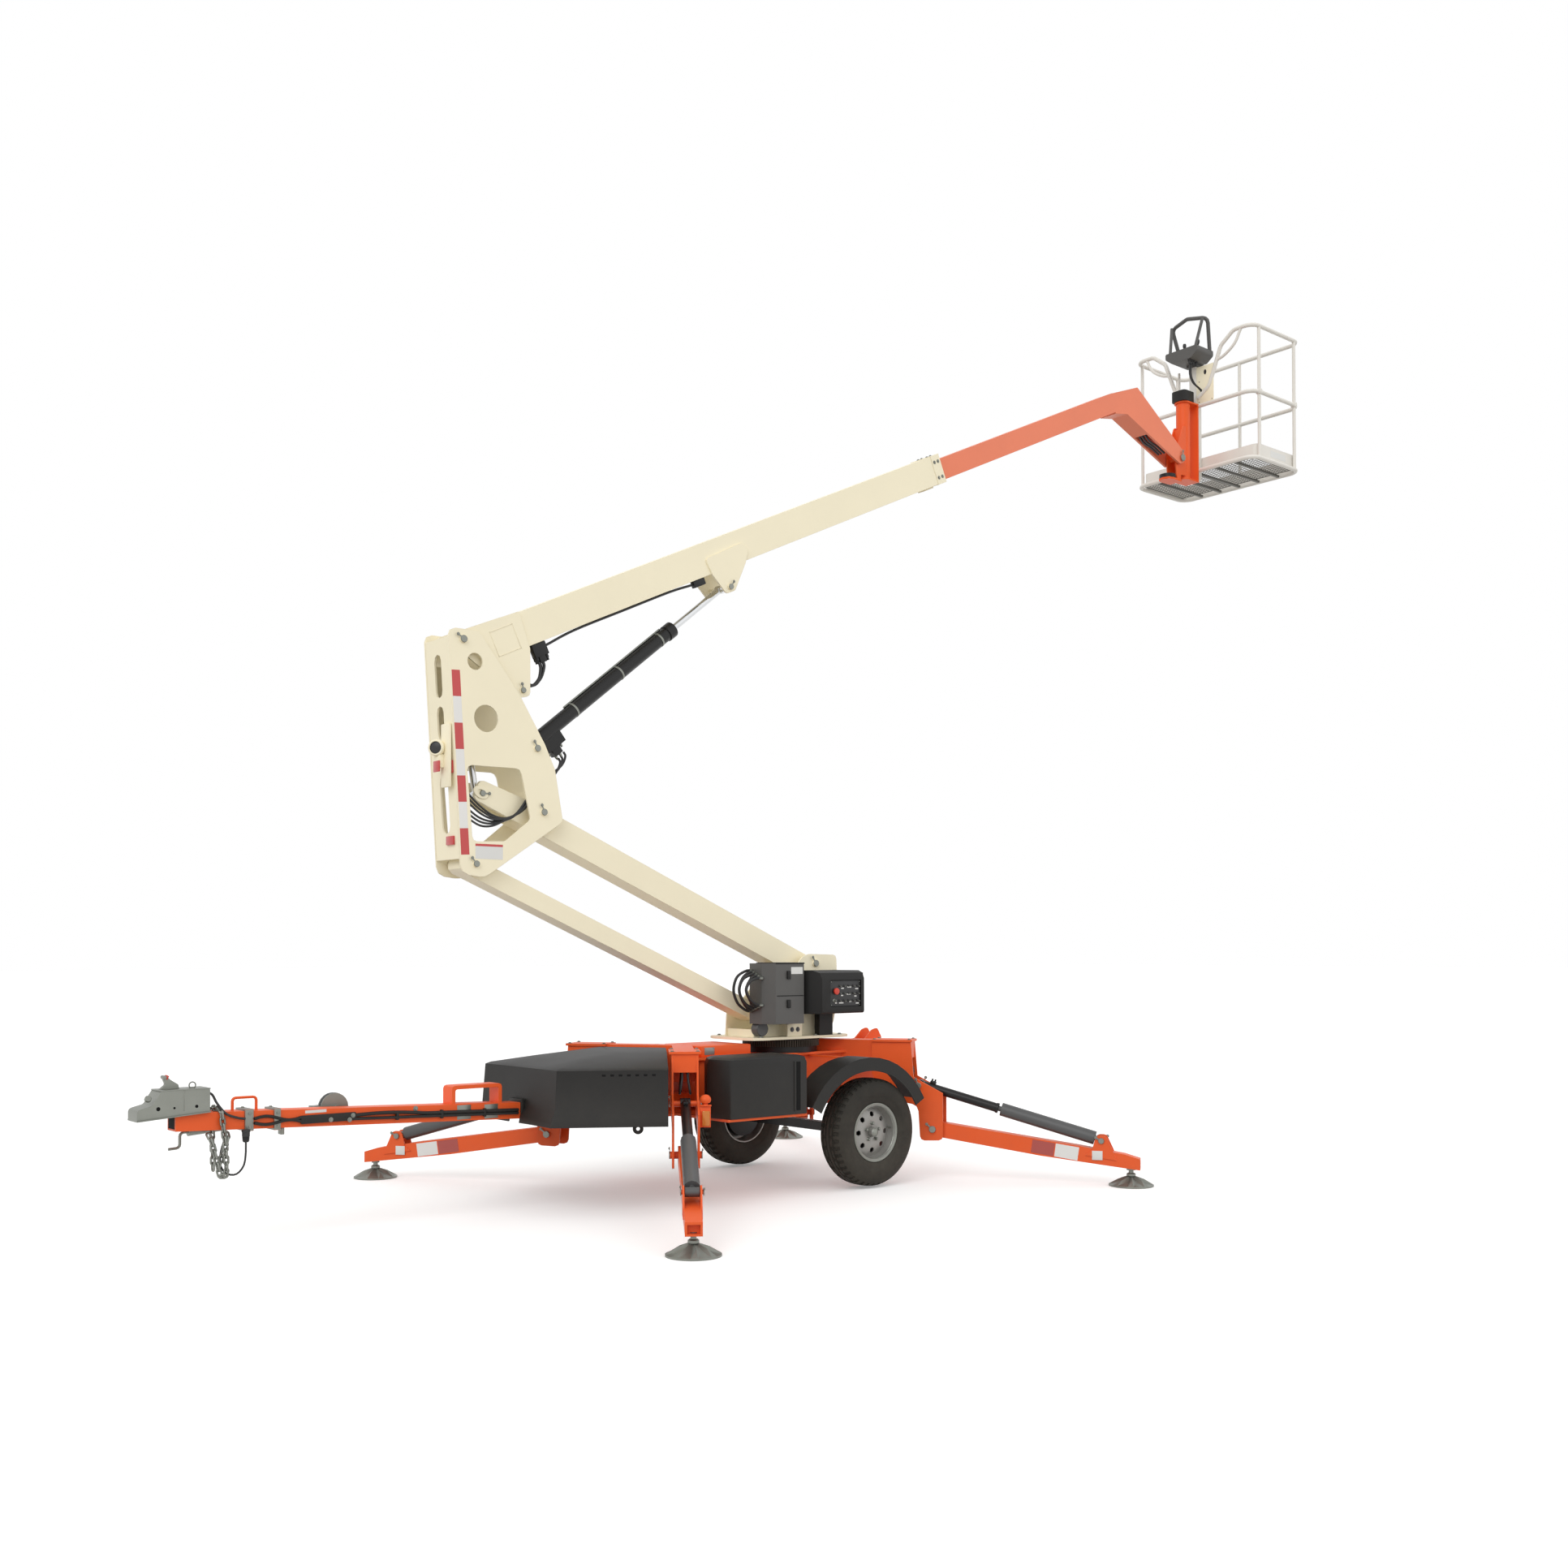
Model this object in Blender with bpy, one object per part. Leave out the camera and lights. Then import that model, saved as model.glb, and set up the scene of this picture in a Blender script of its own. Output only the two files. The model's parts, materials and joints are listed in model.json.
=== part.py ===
"""A towable boom lift standing on its four outriggers, with its tower and upper boom raised.

Metres. +X points to the rear, -Y to the side that the ground controls are on, and +Z up, with z = 0 at
the ground. The sizes below are measured from the slewing axis, and the frame "machine" then moves the
whole lift so that the origin lies under the middle of its length.
"""

import math

import bmesh
import bpy
from mathutils import Matrix, Vector

# Running gear
AXLE_X = 0.17
AXLE_Z = 0.366
TRACK = 1.366
TYRE_RADIUS = 0.354
TYRE_WIDTH = 0.200
RIM_RADIUS = 0.192
AXLE_BAR = 0.060
SPINDLE = 0.020

# Outriggers: feet, and the points of one outrigger as (distance inboard of the foot, height)
FRONT_FOOT = (-2.120, 1.820)
REAR_FOOT = (1.540, 1.770)
OUTRIGGER_HEADING = 55.0
ARM_PIVOT = (1.310, 0.345)
ARM_CYLINDER_TOP = (1.405, 0.640)
ARM_CYLINDER_FOOT = (0.190, 0.296)
ARM_TIP = -0.060
ARM_TIP_Z = 0.146
ARM_WIDTH = 0.104
ARM_DEPTH = 0.100
ARM_GUARD_LENGTH = 0.690
ARM_BARREL_LENGTH = 0.553
HOUSING_GAP = 0.140
HOUSING_PLATE = 0.012
PAD_RADIUS = 0.147

# Chassis
DECK_Z = 0.872
DECK_FRONT = -0.900
DECK_REAR = 0.930
DECK_HALF = 0.240
BEAM_TOP_Z = 0.948
BEAM_DEPTH = 0.170
BEAM_WIDTH = 0.130
TONGUE_NOSE_X = -4.140
TONGUE_ROOT_X = -1.300
TONGUE_NOSE_Z = 0.724
TONGUE_SLOPE = -0.0352
TONGUE_DEPTH = 0.096
TONGUE_WIDTH = 0.120
CLAMP_PROUD = 0.008
COUPLER_NOSE_X = -4.338
COVER_WALL = 0.006
SIDE_HALF = 0.800
FENDER_WIDTH = 0.215
HOOD_REAR_X = -0.975
FENDER_X = 0.087
FENDER_Z = 0.292
FENDER_RADIUS = 0.570
FENDER_SKIRT = 0.083
FENDER_HALF_ANGLE = 61.0

# Slewing turret
RING_RADIUS = 0.250
RING_TOP_Z = 0.965
TABLE_PLATE = 0.018
TURRET_HALF = 0.155
PLATE = 0.012
T1 = (0.179, 1.472)
LINK_DROP = (-0.458, -0.326)

# Tower links and upright
LINK_LENGTH = 2.353
LINK_ANGLE = 23.05
UPPER_LINK_TOP = 0.0445
UPPER_LINK_DEPTH = 0.161
UPPER_LINK_HALF = 0.085
LOWER_LINK_TOP = 0.050
LOWER_LINK_DEPTH = 0.110
LOWER_LINK_HALF = 0.075
LEVER_REACH = 0.387
LEVER_DROP = 0.061
UPRIGHT_FOOT = (-0.556, -0.385)
UPRIGHT_HEAD = (-0.642, 1.036)
UPRIGHT_HALF = 0.150
BOOM_PIVOT = (-0.544, 0.977)
TOWER_CYLINDER_TOP = (-0.500, 0.872)
BOOM_CYLINDER_FOOT = (-0.047, 0.381)

# Upper boom, in its own axes from its pivot: x along it, z square to it
BOOM_ANGLE = 24.98
BOOM_TOP = 0.028
BOOM_DEPTH = 0.207
BOOM_HALF = 0.100
BOOM_WALL = 0.007
BOOM_START = 0.330
BOOM_END = 4.400
BOOM_ROD_PIN = (2.070, -0.300)
FLY_TOP = -0.0095
FLY_DEPTH = 0.155
FLY_HALF = 0.080
FLY_INNER_END = 3.300
FLY_BEND = 6.700
LEVEL_PIN = (7.427, -0.734)
FLY_TRAVEL = 2.050

# Platform, measured from the level pin
ROTATOR_X = 0.130
ROTATOR_RADIUS = 0.060
ROTATOR_LOW = -0.150
ROTATOR_HIGH = 0.515
BASKET_FRONT_X = 0.277
BASKET_LENGTH = 0.720
BASKET_HALF = 0.610
BASKET_FLOOR = -0.051
MID_RAIL = 0.570
TOP_RAIL = 1.140
RAIL_RADIUS = 0.018
CORNER_RADIUS = 0.100

# Clearances
SEAT = 0.0003
SLIDING = 0.0006
RUNNING = 0.006

PLACE = {
    "X": lambda a, b, c: (c, a, b),
    "Y": lambda a, b, c: (a, c, b),
    "Z": lambda a, b, c: (a, b, c),
}


def clear_scene():
    for old in list(bpy.data.objects):
        bpy.data.objects.remove(old, do_unlink=True)


def paint(name, colour, roughness, metallic=0.0):
    material = bpy.data.materials.new(name)
    material.use_nodes = True
    surface = material.node_tree.nodes["Principled BSDF"]
    surface.inputs["Base Color"].default_value = (*colour, 1.0)
    surface.inputs["Roughness"].default_value = roughness
    surface.inputs["Metallic"].default_value = metallic
    return material


def frame(name, carrier, at=(0.0, 0.0, 0.0), about_y=0.0, about_z=0.0):
    """An empty that carries pieces. A joint's frame has its origin on the joint's axis."""
    empty = bpy.data.objects.new(name, None)
    bpy.context.scene.collection.objects.link(empty)
    empty.empty_display_size = 0.2
    empty.parent = carrier
    empty.location = at
    empty.rotation_euler = (0.0, math.radians(about_y), math.radians(about_z))
    return empty


def solid(bm):
    """A loose object that holds one closed piece, in the axes of whatever will carry it."""
    bmesh.ops.recalc_face_normals(bm, faces=bm.faces)
    if bm.calc_volume(signed=True) < 0:
        bmesh.ops.reverse_faces(bm, faces=bm.faces)
    mesh = bpy.data.meshes.new("piece")
    bm.to_mesh(mesh)
    bm.free()
    piece = bpy.data.objects.new("piece", mesh)
    bpy.context.scene.collection.objects.link(piece)
    return piece


def node(name, material, carrier, pieces, cuts=(), inserts=(), smooth=35.0):
    """Joins the pieces, takes the cuts away, adds the inserts and hangs the result on its carrier."""
    body, *others = pieces
    steps = [(p, "UNION") for p in others] + [
        (c, "DIFFERENCE") for c in cuts
    ] + [(p, "UNION") for p in inserts]
    for other, operation in steps:
        step = body.modifiers.new(operation.title(), "BOOLEAN")
        step.solver = "EXACT"
        step.operation = operation
        step.object = other
    graph = bpy.context.evaluated_depsgraph_get()
    mesh = bpy.data.meshes.new_from_object(body.evaluated_get(graph))
    for piece in (*pieces, *cuts, *inserts):
        bpy.data.objects.remove(piece, do_unlink=True)
    mesh.materials.clear()
    mesh.materials.append(material)
    mesh.shade_smooth()
    mesh.set_sharp_from_angle(angle=math.radians(smooth))
    mesh.name = name
    joined = bpy.data.objects.new(name, mesh)
    bpy.context.scene.collection.objects.link(joined)
    joined.parent = carrier
    return joined


def arc_at(before, here, after, radius, steps):
    """The arc that rounds one corner of a path, or the corner itself where the radius is zero."""
    before, here, after = Vector(before), Vector(here), Vector(after)
    if radius == 0:
        return [here]
    back, ahead = (before - here).normalized(), (after - here).normalized()
    half = back.angle(ahead) / 2
    centre = here + (back + ahead).normalized() * radius / math.sin(half)
    start = here + back * radius / math.tan(half) - centre
    end = here + ahead * radius / math.tan(half) - centre
    turn = math.pi - 2 * half
    points = []
    for k in range(steps + 1):
        share = turn * k / steps
        points.append(
            centre + (start * math.sin(turn - share) + end * math.sin(share)) / math.sin(turn)
        )
    return points


def rounded(corners, steps=2):
    """A closed flat outline from corners given as (a, b, radius)."""
    outline = []
    for i, (a, b, radius) in enumerate(corners):
        after = corners[(i + 1) % len(corners)]
        outline += arc_at(corners[i - 1][:2], (a, b), after[:2], radius, steps)
    return [tuple(point) for point in outline]


def bent(corners, radius, steps=3, closed=False):
    """A path in space with every corner rounded to one radius."""
    path = []
    for i, here in enumerate(corners):
        if not closed and i in (0, len(corners) - 1):
            path.append(Vector(here))
        else:
            path += arc_at(corners[i - 1], here, corners[(i + 1) % len(corners)], radius, steps)
    return path


def inset(corners, wall):
    """The corners of an anticlockwise outline, moved in by the thickness of a wall."""
    inner = []
    for i, (a, b, radius) in enumerate(corners):
        here = Vector((a, b))
        arriving = (here - Vector(corners[i - 1][:2])).normalized()
        leaving = (Vector(corners[(i + 1) % len(corners)][:2]) - here).normalized()
        first, second = Vector((-arriving.y, arriving.x)), Vector((-leaving.y, leaving.x))
        here += (first + second) * wall / (1 + first.dot(second))
        inner.append((here.x, here.y, max(radius - wall, 0.0)))
    return inner


def curve(points, steps):
    """A smooth path through points in space."""
    knots = [Vector(point) for point in points]
    knots = [2 * knots[0] - knots[1], *knots, 2 * knots[-1] - knots[-2]]
    path = []
    for before, start, end, after in zip(knots, knots[1:], knots[2:], knots[3:]):
        for k in range(steps):
            t = k / steps
            lead = 2 * start + (end - before) * t
            bend = (2 * before - 5 * start + 4 * end - after) * t * t
            twist = (3 * start - before - 3 * end + after) * t * t * t
            path.append((lead + bend + twist) / 2)
    path.append(knots[-2])
    return path


def hose(name, material, carrier, points, diameter):
    """A plain round hose along a smooth path, closed, that leaves its end points straight."""
    steps = 3
    path = curve(points, steps)
    path = path[:1] + path[steps:-steps] + path[-1:]
    data = bpy.data.curves.new(name, "CURVE")
    data.dimensions = "3D"
    data.bevel_depth = diameter / 2
    data.bevel_resolution = 2
    data.use_fill_caps = True
    spline = data.splines.new("POLY")
    spline.points.add(len(path) - 1)
    for point, place in zip(spline.points, path):
        point.co = (*place, 1.0)
    data.materials.append(material)
    made = bpy.data.objects.new(name, data)
    bpy.context.scene.collection.objects.link(made)
    made.parent = carrier
    return made


def extruded(outline, low, high, axis="Y"):
    """A flat outline made thick: (x, z) along Y, (y, z) along X, or (x, y) along Z."""
    bm = bmesh.new()
    face = bm.faces.new([bm.verts.new(PLACE[axis](a, b, low)) for a, b in outline])
    made = bmesh.ops.extrude_face_region(bm, geom=[face])["geom"]
    raised = [v for v in made if isinstance(v, bmesh.types.BMVert)]
    bmesh.ops.translate(bm, vec=PLACE[axis](0, 0, high - low), verts=raised)
    return solid(bm)


def box(x, y, z):
    """A block from its (low, high) along each axis."""
    return extruded([(x[0], z[0]), (x[1], z[0]), (x[1], z[1]), (x[0], z[1])], *y)


def rod(start, end, radius, sides=12):
    start, end = Vector(start), Vector(end)
    bm = bmesh.new()
    along = (end - start).to_track_quat("Z", "Y").to_matrix().to_4x4()
    middle = Matrix.Translation((start + end) / 2)
    bmesh.ops.create_cone(
        bm,
        cap_ends=True,
        segments=sides,
        radius1=radius,
        radius2=radius,
        depth=(end - start).length,
        matrix=middle @ along,
    )
    return solid(bm)


def pin(x, z, half, radius, sides=12):
    """A cross pin or boss that runs through from side to side."""
    return rod((x, -half, z), (x, half, z), radius, sides)


def eye(x, z, radius, sides=12):
    """The hole for a cross pin of this radius, which clears the facets however the two are turned."""
    return pin(x, z, 0.3, radius / math.cos(math.pi / sides) + SEAT, sides)


def turned(profile, segments=32, axis="Z", at=(0.0, 0.0, 0.0)):
    """A profile of (radius, height) turned about an axis. It's closed, or ends on the axis."""
    bm = bmesh.new()
    verts = [bm.verts.new((radius, 0.0, height)) for radius, height in profile]
    edges = [bm.edges.new(pair) for pair in zip(verts, verts[1:])]
    if profile[0][0] > 0:
        edges.append(bm.edges.new((verts[-1], verts[0])))
    bmesh.ops.spin(
        bm,
        geom=verts + edges,
        cent=(0, 0, 0),
        axis=(0, 0, 1),
        angle=2 * math.pi,
        steps=segments,
        use_merge=True,
    )
    bmesh.ops.remove_doubles(bm, verts=bm.verts, dist=1e-6)
    lay = {"X": Matrix.Rotation(math.pi / 2, 3, "Y"), "Y": Matrix.Rotation(-math.pi / 2, 3, "X")}
    if axis in lay:
        bmesh.ops.rotate(bm, verts=bm.verts, cent=(0, 0, 0), matrix=lay[axis])
    bmesh.ops.translate(bm, verts=bm.verts, vec=at)
    return solid(bm)


def loft(sections):
    """A closed skin through sections that have the same number of points."""
    bm = bmesh.new()
    rings = [[bm.verts.new(point) for point in section] for section in sections]
    count = len(rings[0])
    for ring, following in zip(rings, rings[1:]):
        for k in range(count):
            after = (k + 1) % count
            bm.faces.new((ring[k], ring[after], following[after], following[k]))
    bm.faces.new(rings[0])
    bm.faces.new(rings[-1])
    return solid(bm)


def tube(path, radius, sides=8, closed=False, up=(0.0, 0.0, 1.0)):
    """A round bar along a path. The path never runs parallel to the up direction."""
    points = [Vector(point) for point in path]
    last = len(points) - 1
    bm = bmesh.new()
    rings = []
    for i, here in enumerate(points):
        back = here - points[i - 1] if i or closed else points[1] - here
        ahead = points[(i + 1) % len(points)] - here if i < last or closed else back
        along = (back.normalized() + ahead.normalized()).normalized()
        across = along.cross(Vector(up)).normalized()
        lift = across.cross(along)
        ring = []
        for k in range(sides):
            turn = 2 * math.pi * (k + 0.5) / sides
            ring.append(
                bm.verts.new(here + radius * (across * math.cos(turn) + lift * math.sin(turn)))
            )
        rings.append(ring)
    for i in range(len(rings) if closed else last):
        ring, following = rings[i], rings[(i + 1) % len(rings)]
        for k in range(sides):
            after = (k + 1) % sides
            bm.faces.new((ring[k], ring[after], following[after], following[k]))
    if not closed:
        bm.faces.new(rings[0])
        bm.faces.new(rings[-1])
    return solid(bm)


def box_loop(half_y, low, high, wall):
    """The hollow section of a rectangular tube, as (outer block outline, inner one) in y and z."""
    outer = [(-half_y, low), (half_y, low), (half_y, high), (-half_y, high)]
    shrink = [(-half_y + wall, low + wall), (half_y - wall, low + wall)]
    shrink += [(half_y - wall, high - wall), (-half_y + wall, high - wall)]
    return outer, shrink


def direction(start, end):
    """The length from one (x, z) point to another, and its angle above +X in degrees."""
    dx, dz = end[0] - start[0], end[1] - start[1]
    return math.hypot(dx, dz), math.degrees(math.atan2(dz, dx))


clear_scene()

CREAM = paint("cream_paint", (0.76, 0.70, 0.54), 0.40)
ORANGE = paint("orange_paint", (0.80, 0.13, 0.03), 0.40)
DARK = paint("dark_plastic", (0.035, 0.037, 0.040), 0.55)
GREY = paint("grey_plastic", (0.095, 0.095, 0.095), 0.50)
BLACK = paint("black_paint", (0.015, 0.015, 0.016), 0.45)
CHROME = paint("chromed_rod", (0.75, 0.76, 0.78), 0.15, 1.0)
ZINC = paint("galvanised_steel", (0.50, 0.52, 0.53), 0.45, 0.9)
SILVER = paint("silver_wheel", (0.42, 0.43, 0.44), 0.40, 0.6)
RUBBER = paint("tyre_rubber", (0.02, 0.02, 0.021), 0.75)
RAIL = paint("rail_paint", (0.80, 0.79, 0.74), 0.35)
GRATE = paint("grating_steel", (0.22, 0.22, 0.22), 0.55, 0.8)
RED = paint("red_button", (0.70, 0.05, 0.03), 0.40)

# Frames: one for the whole lift, then one on every joint's axis.
LINK_COS, LINK_SIN = math.cos(math.radians(LINK_ANGLE)), math.sin(math.radians(LINK_ANGLE))
BOOM_COS, BOOM_SIN = math.cos(math.radians(BOOM_ANGLE)), math.sin(math.radians(BOOM_ANGLE))
P1 = (T1[0] - LINK_LENGTH * LINK_COS, T1[1] + LINK_LENGTH * LINK_SIN)
U = (P1[0] + BOOM_PIVOT[0], P1[1] + BOOM_PIVOT[1])
PIN_X = U[0] + LEVEL_PIN[0] * BOOM_COS - LEVEL_PIN[1] * BOOM_SIN
REAR_X = PIN_X + BASKET_FRONT_X + BASKET_LENGTH + RAIL_RADIUS
MIDDLE_X = (COUPLER_NOSE_X + REAR_X) / 2

machine = frame("machine", None, (-MIDDLE_X, 0, 0))
slew = frame("axis_slew", machine)
link_frame = frame("axis_tower_lift", slew, (T1[0], 0, T1[1]), about_y=LINK_ANGLE)
lower_frame = frame(
    "axis_lower_link", slew, (T1[0] + LINK_DROP[0], 0, T1[1] + LINK_DROP[1]), about_y=LINK_ANGLE
)
upright_frame = frame("axis_upright", link_frame, (-LINK_LENGTH, 0, 0), about_y=-LINK_ANGLE)
boom_frame = frame(
    "axis_boom_lift", upright_frame, (BOOM_PIVOT[0], 0, BOOM_PIVOT[1]), about_y=-BOOM_ANGLE
)
fly_frame = frame("axis_fly", boom_frame)
level_frame = frame("axis_level", fly_frame, (LEVEL_PIN[0], 0, LEVEL_PIN[1]), about_y=BOOM_ANGLE)
basket_frame = frame("axis_rotator", level_frame, (ROTATOR_X, 0, 0))


# Chassis: a deep centre box under the slewing ring, a beam to each outrigger's housing and the housings
# themselves, welded into one frame.
def outrigger_place(foot, side, fore):
    """The frame of one outrigger: its origin on the arm's pivot at ground height, +X outboard."""
    heading = math.radians(OUTRIGGER_HEADING)
    out_x, out_y = fore * math.cos(heading), side * math.sin(heading)
    at = (foot[0] - ARM_PIVOT[0] * out_x, side * foot[1] - ARM_PIVOT[0] * out_y, 0.0)
    return at, math.degrees(math.atan2(out_y, out_x))


def outrigger_point(point):
    """(distance inboard of the foot, height) as (x, z) in the outrigger's frame."""
    return ARM_PIVOT[0] - point[0], point[1]


CORNERS = [
    # name, foot, side (-1 near), fore and aft (-1 front)
    ("front_left", FRONT_FOOT, -1, -1),
    ("front_right", FRONT_FOOT, 1, -1),
    ("rear_left", REAR_FOOT, -1, 1),
    ("rear_right", REAR_FOOT, 1, 1),
]
HOUSING_HALF = HOUSING_GAP / 2 + HOUSING_PLATE
HOUSING_BACK = -0.420
HOUSING_FRONT = 0.070


def moved(piece, place):
    """Carries a piece made in an outrigger's axes over to the chassis."""
    at, heading = place
    piece.data.transform(Matrix.Translation(at) @ Matrix.Rotation(math.radians(heading), 4, "Z"))
    return piece


def housing_pieces(place):
    """Two side plates, the cap, the face and the back web that carry one outrigger arm."""
    pivot_z = ARM_PIVOT[1]
    outline = rounded(
        [
            (HOUSING_FRONT, pivot_z - 0.075, 0.03),
            (HOUSING_FRONT, pivot_z + 0.245, 0.0),
            (-0.130, pivot_z + 0.350, 0.0),
            (-0.150, BEAM_TOP_Z, 0.0),
            (HOUSING_BACK, BEAM_TOP_Z, 0.0),
            (HOUSING_BACK, BEAM_TOP_Z - BEAM_DEPTH - 0.06, 0.0),
            (-0.330, pivot_z + 0.20, 0.05),
            (-0.100, pivot_z + 0.16, 0.05),
            (-0.085, pivot_z - 0.080, 0.03),
        ]
    )
    pieces = []
    for side in (-1, 1):
        inner = side * HOUSING_GAP / 2
        outer = side * HOUSING_HALF
        pieces.append(extruded(outline, min(inner, outer), max(inner, outer)))
    reach = HOUSING_HALF - 0.001
    cap = box(
        (HOUSING_BACK + 0.002, -0.138),
        (-HOUSING_HALF - 0.014, HOUSING_HALF + 0.014),
        (BEAM_TOP_Z - 0.014, BEAM_TOP_Z + 0.001),
    )
    face = box((-0.162, -0.149), (-reach, reach), (BEAM_TOP_Z - 0.125, BEAM_TOP_Z - 0.004))
    web = box(
        (HOUSING_BACK + 0.004, HOUSING_BACK + 0.016),
        (-reach, reach),
        (pivot_z + 0.40, BEAM_TOP_Z - 0.004),
    )
    pieces += [cap, face, web]
    pieces.append(pin(0.0, pivot_z, HOUSING_HALF + 0.012, 0.022))
    pieces.append(pin(*outrigger_point(ARM_CYLINDER_TOP), HOUSING_HALF + 0.010, 0.018))
    return [moved(piece, place) for piece in pieces]


def beam_piece(place, apex_x):
    """The box beam from a housing's back to the centre line."""
    at, heading = place
    turn = Matrix.Rotation(math.radians(heading), 3, "Z")
    start = Vector(at) + turn @ Vector((HOUSING_BACK + 0.010, 0, 0))
    reach = (start - Vector((apex_x, 0, 0))).length
    beam = box(
        (HOUSING_BACK + 0.010 - reach, HOUSING_BACK + 0.010),
        (-BEAM_WIDTH / 2, BEAM_WIDTH / 2),
        (BEAM_TOP_Z - BEAM_DEPTH, BEAM_TOP_Z - 0.003),
    )
    return moved(beam, place)


def tongue_z(x):
    """The height of the top of the tongue, which rises towards its nose."""
    return TONGUE_NOSE_Z + TONGUE_SLOPE * (x - TONGUE_NOSE_X)


frame_pieces = [
    box((DECK_FRONT, DECK_REAR), (-DECK_HALF, DECK_HALF), (DECK_Z - 0.016, DECK_Z)),
    box(
        (DECK_FRONT + 0.04, DECK_REAR - 0.10),
        (-DECK_HALF + 0.03, DECK_HALF - 0.03),
        (0.560, DECK_Z - 0.010),
    ),
    box((TONGUE_ROOT_X - 0.10, DECK_REAR - 0.16), (-0.11, 0.11), (0.500, 0.640)),
]
for name, foot, side, fore in CORNERS:
    place = outrigger_place(foot, side, fore)
    apex = fore * foot[1] / math.tan(math.radians(OUTRIGGER_HEADING))
    frame_pieces += housing_pieces(place)
    frame_pieces.append(beam_piece(place, foot[0] - apex))
# axle hangers and battery trays
for side in (-1, 1):
    y = sorted((side * 0.40, side * 0.46))
    frame_pieces.append(
        box((AXLE_X - 0.05, AXLE_X + 0.05), y, (AXLE_Z + AXLE_BAR / 2 + SEAT, 0.640))
    )
    frame_pieces.append(box((AXLE_X - 0.40, AXLE_X + 0.40), y, (0.600, 0.660)))
    frame_pieces.append(
        box((AXLE_X - 0.03, AXLE_X + 0.03), sorted((side * 0.05, side * 0.45)), (0.612, 0.652))
    )
    tray_y = sorted((side * 0.10, side * (SIDE_HALF - 0.010)))
    frame_pieces.append(box((-1.080, -0.450), tray_y, (0.520, 0.536)))
    frame_pieces.append(box((-0.82, -0.74), sorted((side * 0.10, side * 0.40)), (0.530, 0.60)))
    fender_low = FENDER_Z + FENDER_RADIUS - COVER_WALL - 0.0020
    bracket_low = min(fender_low, DECK_Z) - 0.010
    bracket_y = sorted((side * 0.15, side * (SIDE_HALF - 0.10)))
    frame_pieces.append(
        box((FENDER_X - 0.02, FENDER_X + 0.02), bracket_y, (bracket_low, fender_low))
    )
# the travel lock's ears behind the turret
for side in (-1, 1):
    ear = rounded(
        [
            (0.60, DECK_Z - 0.01, 0),
            (0.90, DECK_Z - 0.01, 0),
            (0.90, 0.94, 0.01),
            (0.86, 1.005, 0.02),
            (0.81, 0.99, 0.02),
            (0.74, 0.93, 0.02),
            (0.60, 0.92, 0),
        ]
    )
    inner = side * 0.045
    frame_pieces.append(
        extruded(ear, min(inner, inner + side * 0.012), max(inner, inner + side * 0.012))
    )
node("chassis_frame", ORANGE, machine, frame_pieces)

# Tongue: a rectangular tube up to the coupler, with the hoop that the folded tower rests on.
tongue_end = TONGUE_ROOT_X - 0.10 - SEAT
tongue_outline = [
    (TONGUE_NOSE_X, tongue_z(TONGUE_NOSE_X)),
    (TONGUE_NOSE_X, tongue_z(TONGUE_NOSE_X) - TONGUE_DEPTH),
    (tongue_end, tongue_z(tongue_end) - TONGUE_DEPTH),
    (tongue_end, tongue_z(tongue_end)),
]
REST_FRONT, REST_REAR, REST_TOP = -2.545, -2.215, 0.775
rest_outline = rounded(
    [
        (REST_FRONT, tongue_z(REST_FRONT) - 0.01, 0.0),
        (REST_FRONT, REST_TOP, 0.02),
        (REST_REAR, REST_TOP, 0.02),
        (REST_REAR, tongue_z(REST_REAR) - 0.01, 0.0),
    ]
)
rest_hole = rounded(
    [
        (REST_FRONT + 0.022, tongue_z(REST_FRONT) + 0.004, 0.0),
        (REST_FRONT + 0.022, REST_TOP - 0.022, 0.012),
        (REST_REAR - 0.022, REST_TOP - 0.022, 0.012),
        (REST_REAR - 0.022, tongue_z(REST_REAR) + 0.004, 0.0),
    ]
)
grab_handle = [(-3.820, 0, 0.700), (-3.820, 0, 0.779), (-3.690, 0, 0.779), (-3.690, 0, 0.700)]


def tongue_clamp(x, length):
    """A strap round the tongue."""
    half = TONGUE_WIDTH / 2 + CLAMP_PROUD
    return box(
        (x - length / 2, x + length / 2),
        (-half, half),
        (tongue_z(x) - TONGUE_DEPTH - 0.010, tongue_z(x) + 0.010),
    )


def pin_at(place, y, half, radius, sides):
    """A cross pin or wheel of this half width about a point beside the centre line."""
    x, z = place
    return rod((x, y - half, z), (x, y + half, z), radius, sides)


node(
    "tongue",
    ORANGE,
    machine,
    [
        extruded(tongue_outline, -TONGUE_WIDTH / 2, TONGUE_WIDTH / 2),
        extruded(rest_outline, -0.055, 0.055),
        tongue_clamp(-3.753, 0.046),
        tongue_clamp(-3.598, 0.036),
        tube(bent(grab_handle, 0.018), 0.008, 6, up=(0, 1, 0)),
    ],
    [extruded(rest_hole, -0.06, 0.06)],
)

# the black conduit along the tongue's near side
CONDUIT_Y = -(TONGUE_WIDTH / 2 + SEAT)
conduit_outline = [
    (x, tongue_z(x) - 0.048 + offset)
    for x, offset in ((-3.572, -0.022), (-2.110, -0.022), (-2.110, 0.022), (-3.572, 0.022))
]
node("tongue_conduit", DARK, machine, [extruded(conduit_outline, CONDUIT_Y - 0.020, CONDUIT_Y)])

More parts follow.
